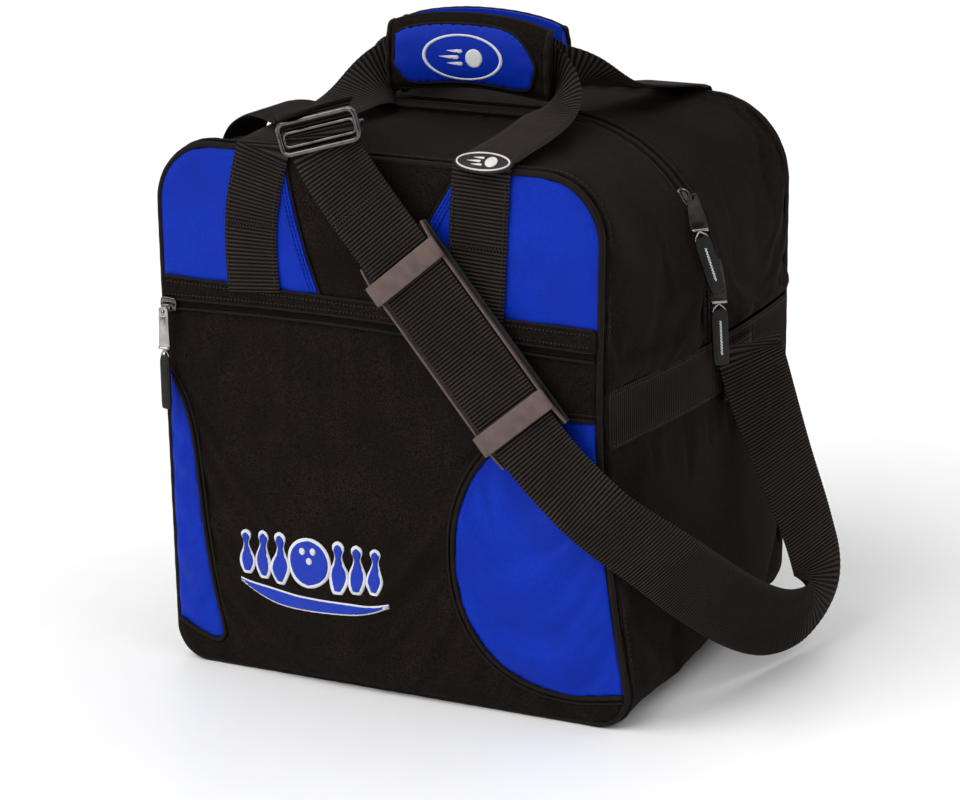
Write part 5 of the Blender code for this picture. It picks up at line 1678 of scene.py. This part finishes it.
def pocket_emblem():
    """A generic mark: a row of pins with a ball among them, over a tapered line."""
    surface = front_of(bpy.data.objects["pocket_front_cloth"])

    def placed(run, x, z):
        return [(x + a, z + b) for a, b in run]
    pins = ((-97.5, 29), (-84.5, 31.5), (-71, 34), (-27, 34), (-13.5, 31.5), (-0.5, 29))
    for k, (x, height) in enumerate(pins):
        z = 85.5 + (34 - height) * 0.1
        border = [(a * 1.17, b * 1.06) for a, b in pin_outline(height * MM)]
        embroidered(f"emblem_pin_border_{k}", placed(border, x * MM, z * MM), surface, 0.1 * MM, WHITE, "bag")
        embroidered(f"emblem_pin_{k}", placed([(a * 0.86, b * 0.93) for a, b in pin_outline(height * MM)], x * MM,
                                              z * MM), surface, 0.5 * MM, EMBLEM_BLUE, "bag")
    ball = (-49 * MM, 85.5 * MM)
    embroidered("emblem_ball_border", oval(16.6 * MM, 17 * MM, 64, ball), surface, 0.1 * MM, WHITE, "bag")
    embroidered("emblem_ball", oval(14.7 * MM, 15.1 * MM, 64, ball), surface, 0.5 * MM, EMBLEM_BLUE, "bag")
    for k, (x, z) in enumerate(((-4.6, 7.5), (3.4, 8.2), (0.4, 1.2))):
        hole = oval(2.3 * MM, 2.5 * MM, 24, (ball[0] + x * MM, ball[1] + z * MM))
        embroidered(f"emblem_ball_hole_{k}", hole, surface, 0.95 * MM, WHITE, "bag", 0.6 * MM)
    top = [(-104, 65.5), (-60, 61.5), (-10, 61.5), (10, 64.5)]
    low = [(10, 63.5), (-15, 55.5), (-70, 53.5), (-104, 64.5)]
    for name, drop, grow, material in (("emblem_line_border", 0.0, 1.3, WHITE), ("emblem_line", 0.4, 0.0, EMBLEM_BLUE)):
        upper = smooth_path([Vector((x * MM, (z + grow * 0.8) * MM, 0)) for x, z in top], 8)
        lower = smooth_path([Vector((x * MM, (z - grow * 0.8) * MM, 0)) for x, z in low], 8)
        run = [(p.x, p.y) for p in upper + lower]
        embroidered(name, run, surface, 0.1 * MM + drop * MM, material, "bag")


# ---------------------------------------------------------------- camera, light and floor
def sun(name, strength, softness, place):
    """A broad soft light from the direction of a place."""
    data = bpy.data.lights.new(name, "SUN")
    data.energy = strength
    data.angle = math.radians(softness)
    lamp = bpy.data.objects.new(name, data)
    bpy.context.collection.objects.link(lamp)
    lamp.location = place
    lamp.rotation_euler = (-Vector(place)).to_track_quat("-Z", "Y").to_euler()


def studio():
    """A white floor, soft lights and the camera."""
    reach = 9
    grid = [[Vector((x, y, 0)) for x in spread(-reach, reach, 13)] for y in spread(-reach, reach, 13)]
    paper = Nodes("white_paper")
    paper.finish(paper.mix(paper.noise(3, 2), (0.96, 0.96, 0.96), (0.98, 0.98, 0.98)),
                 spread_of(paper, paper.noise(40, 2), 0.30, 0.38), paper.bump(paper.noise(300, 2), 0.1 * MM, 0.1))
    floor = new_object("floor", grid_mesh("floor", grid), paper.material)
    world = bpy.data.worlds.new("studio")
    world.use_nodes = True
    tree = world.node_tree
    background = tree.nodes["Background"]
    background.inputs["Color"].default_value = (1, 1, 1, 1)
    background.inputs["Strength"].default_value = 0.34
    seen = tree.nodes.new("ShaderNodeBackground")
    seen.inputs["Color"].default_value = (1, 1, 1, 1)
    rays, both = tree.nodes.new("ShaderNodeLightPath"), tree.nodes.new("ShaderNodeMixShader")
    tree.links.new(rays.outputs["Is Camera Ray"], both.inputs[0])
    tree.links.new(background.outputs[0], both.inputs[1])
    tree.links.new(seen.outputs[0], both.inputs[2])
    tree.links.new(both.outputs[0], tree.nodes["World Output"].inputs["Surface"])
    bpy.context.scene.world = world
    sun("key", 2.6, 60, (-1.2, -1.6, 1.7))
    sun("top", 1.2, 80, (0.2, 0.9, 2.2))
    sun("side", 0.35, 40, (2.2, -0.6, 0.9))
    scene = bpy.context.scene
    scene.view_settings.view_transform = "Standard"
    scene.view_settings.look = "None"
    camera()


def camera():
    data = bpy.data.cameras.new("camera")
    data.lens = 118.79
    data.sensor_width = 36
    data.clip_start, data.clip_end = 0.05, 30
    obj = bpy.data.objects.new("camera", data)
    bpy.context.collection.objects.link(obj)
    azimuth, elevation, roll = (math.radians(v) for v in (26.274, 16.12, -0.551))
    back = Vector((math.sin(azimuth) * math.cos(elevation), -math.cos(azimuth) * math.cos(elevation),
                   math.sin(elevation)))
    right = Vector((math.cos(azimuth), math.sin(azimuth), 0))
    up = back.cross(right)
    right, up = right * math.cos(roll) + up * math.sin(roll), up * math.cos(roll) - right * math.sin(roll)
    obj.matrix_world = frame_matrix(Vector((-1.06, 0, 160.49)) * MM + back * 2.1679, right, up, back)
    bpy.context.scene.camera = obj


shell()
piping()
upper_front()
pocket()
pocket_emblem()
main_zipper()
pocket_zipper()
sliders()
handles()
strap_top()
strap_low()
tri_glide()
shoulder_pad()
side_bands()
interior()
studio()
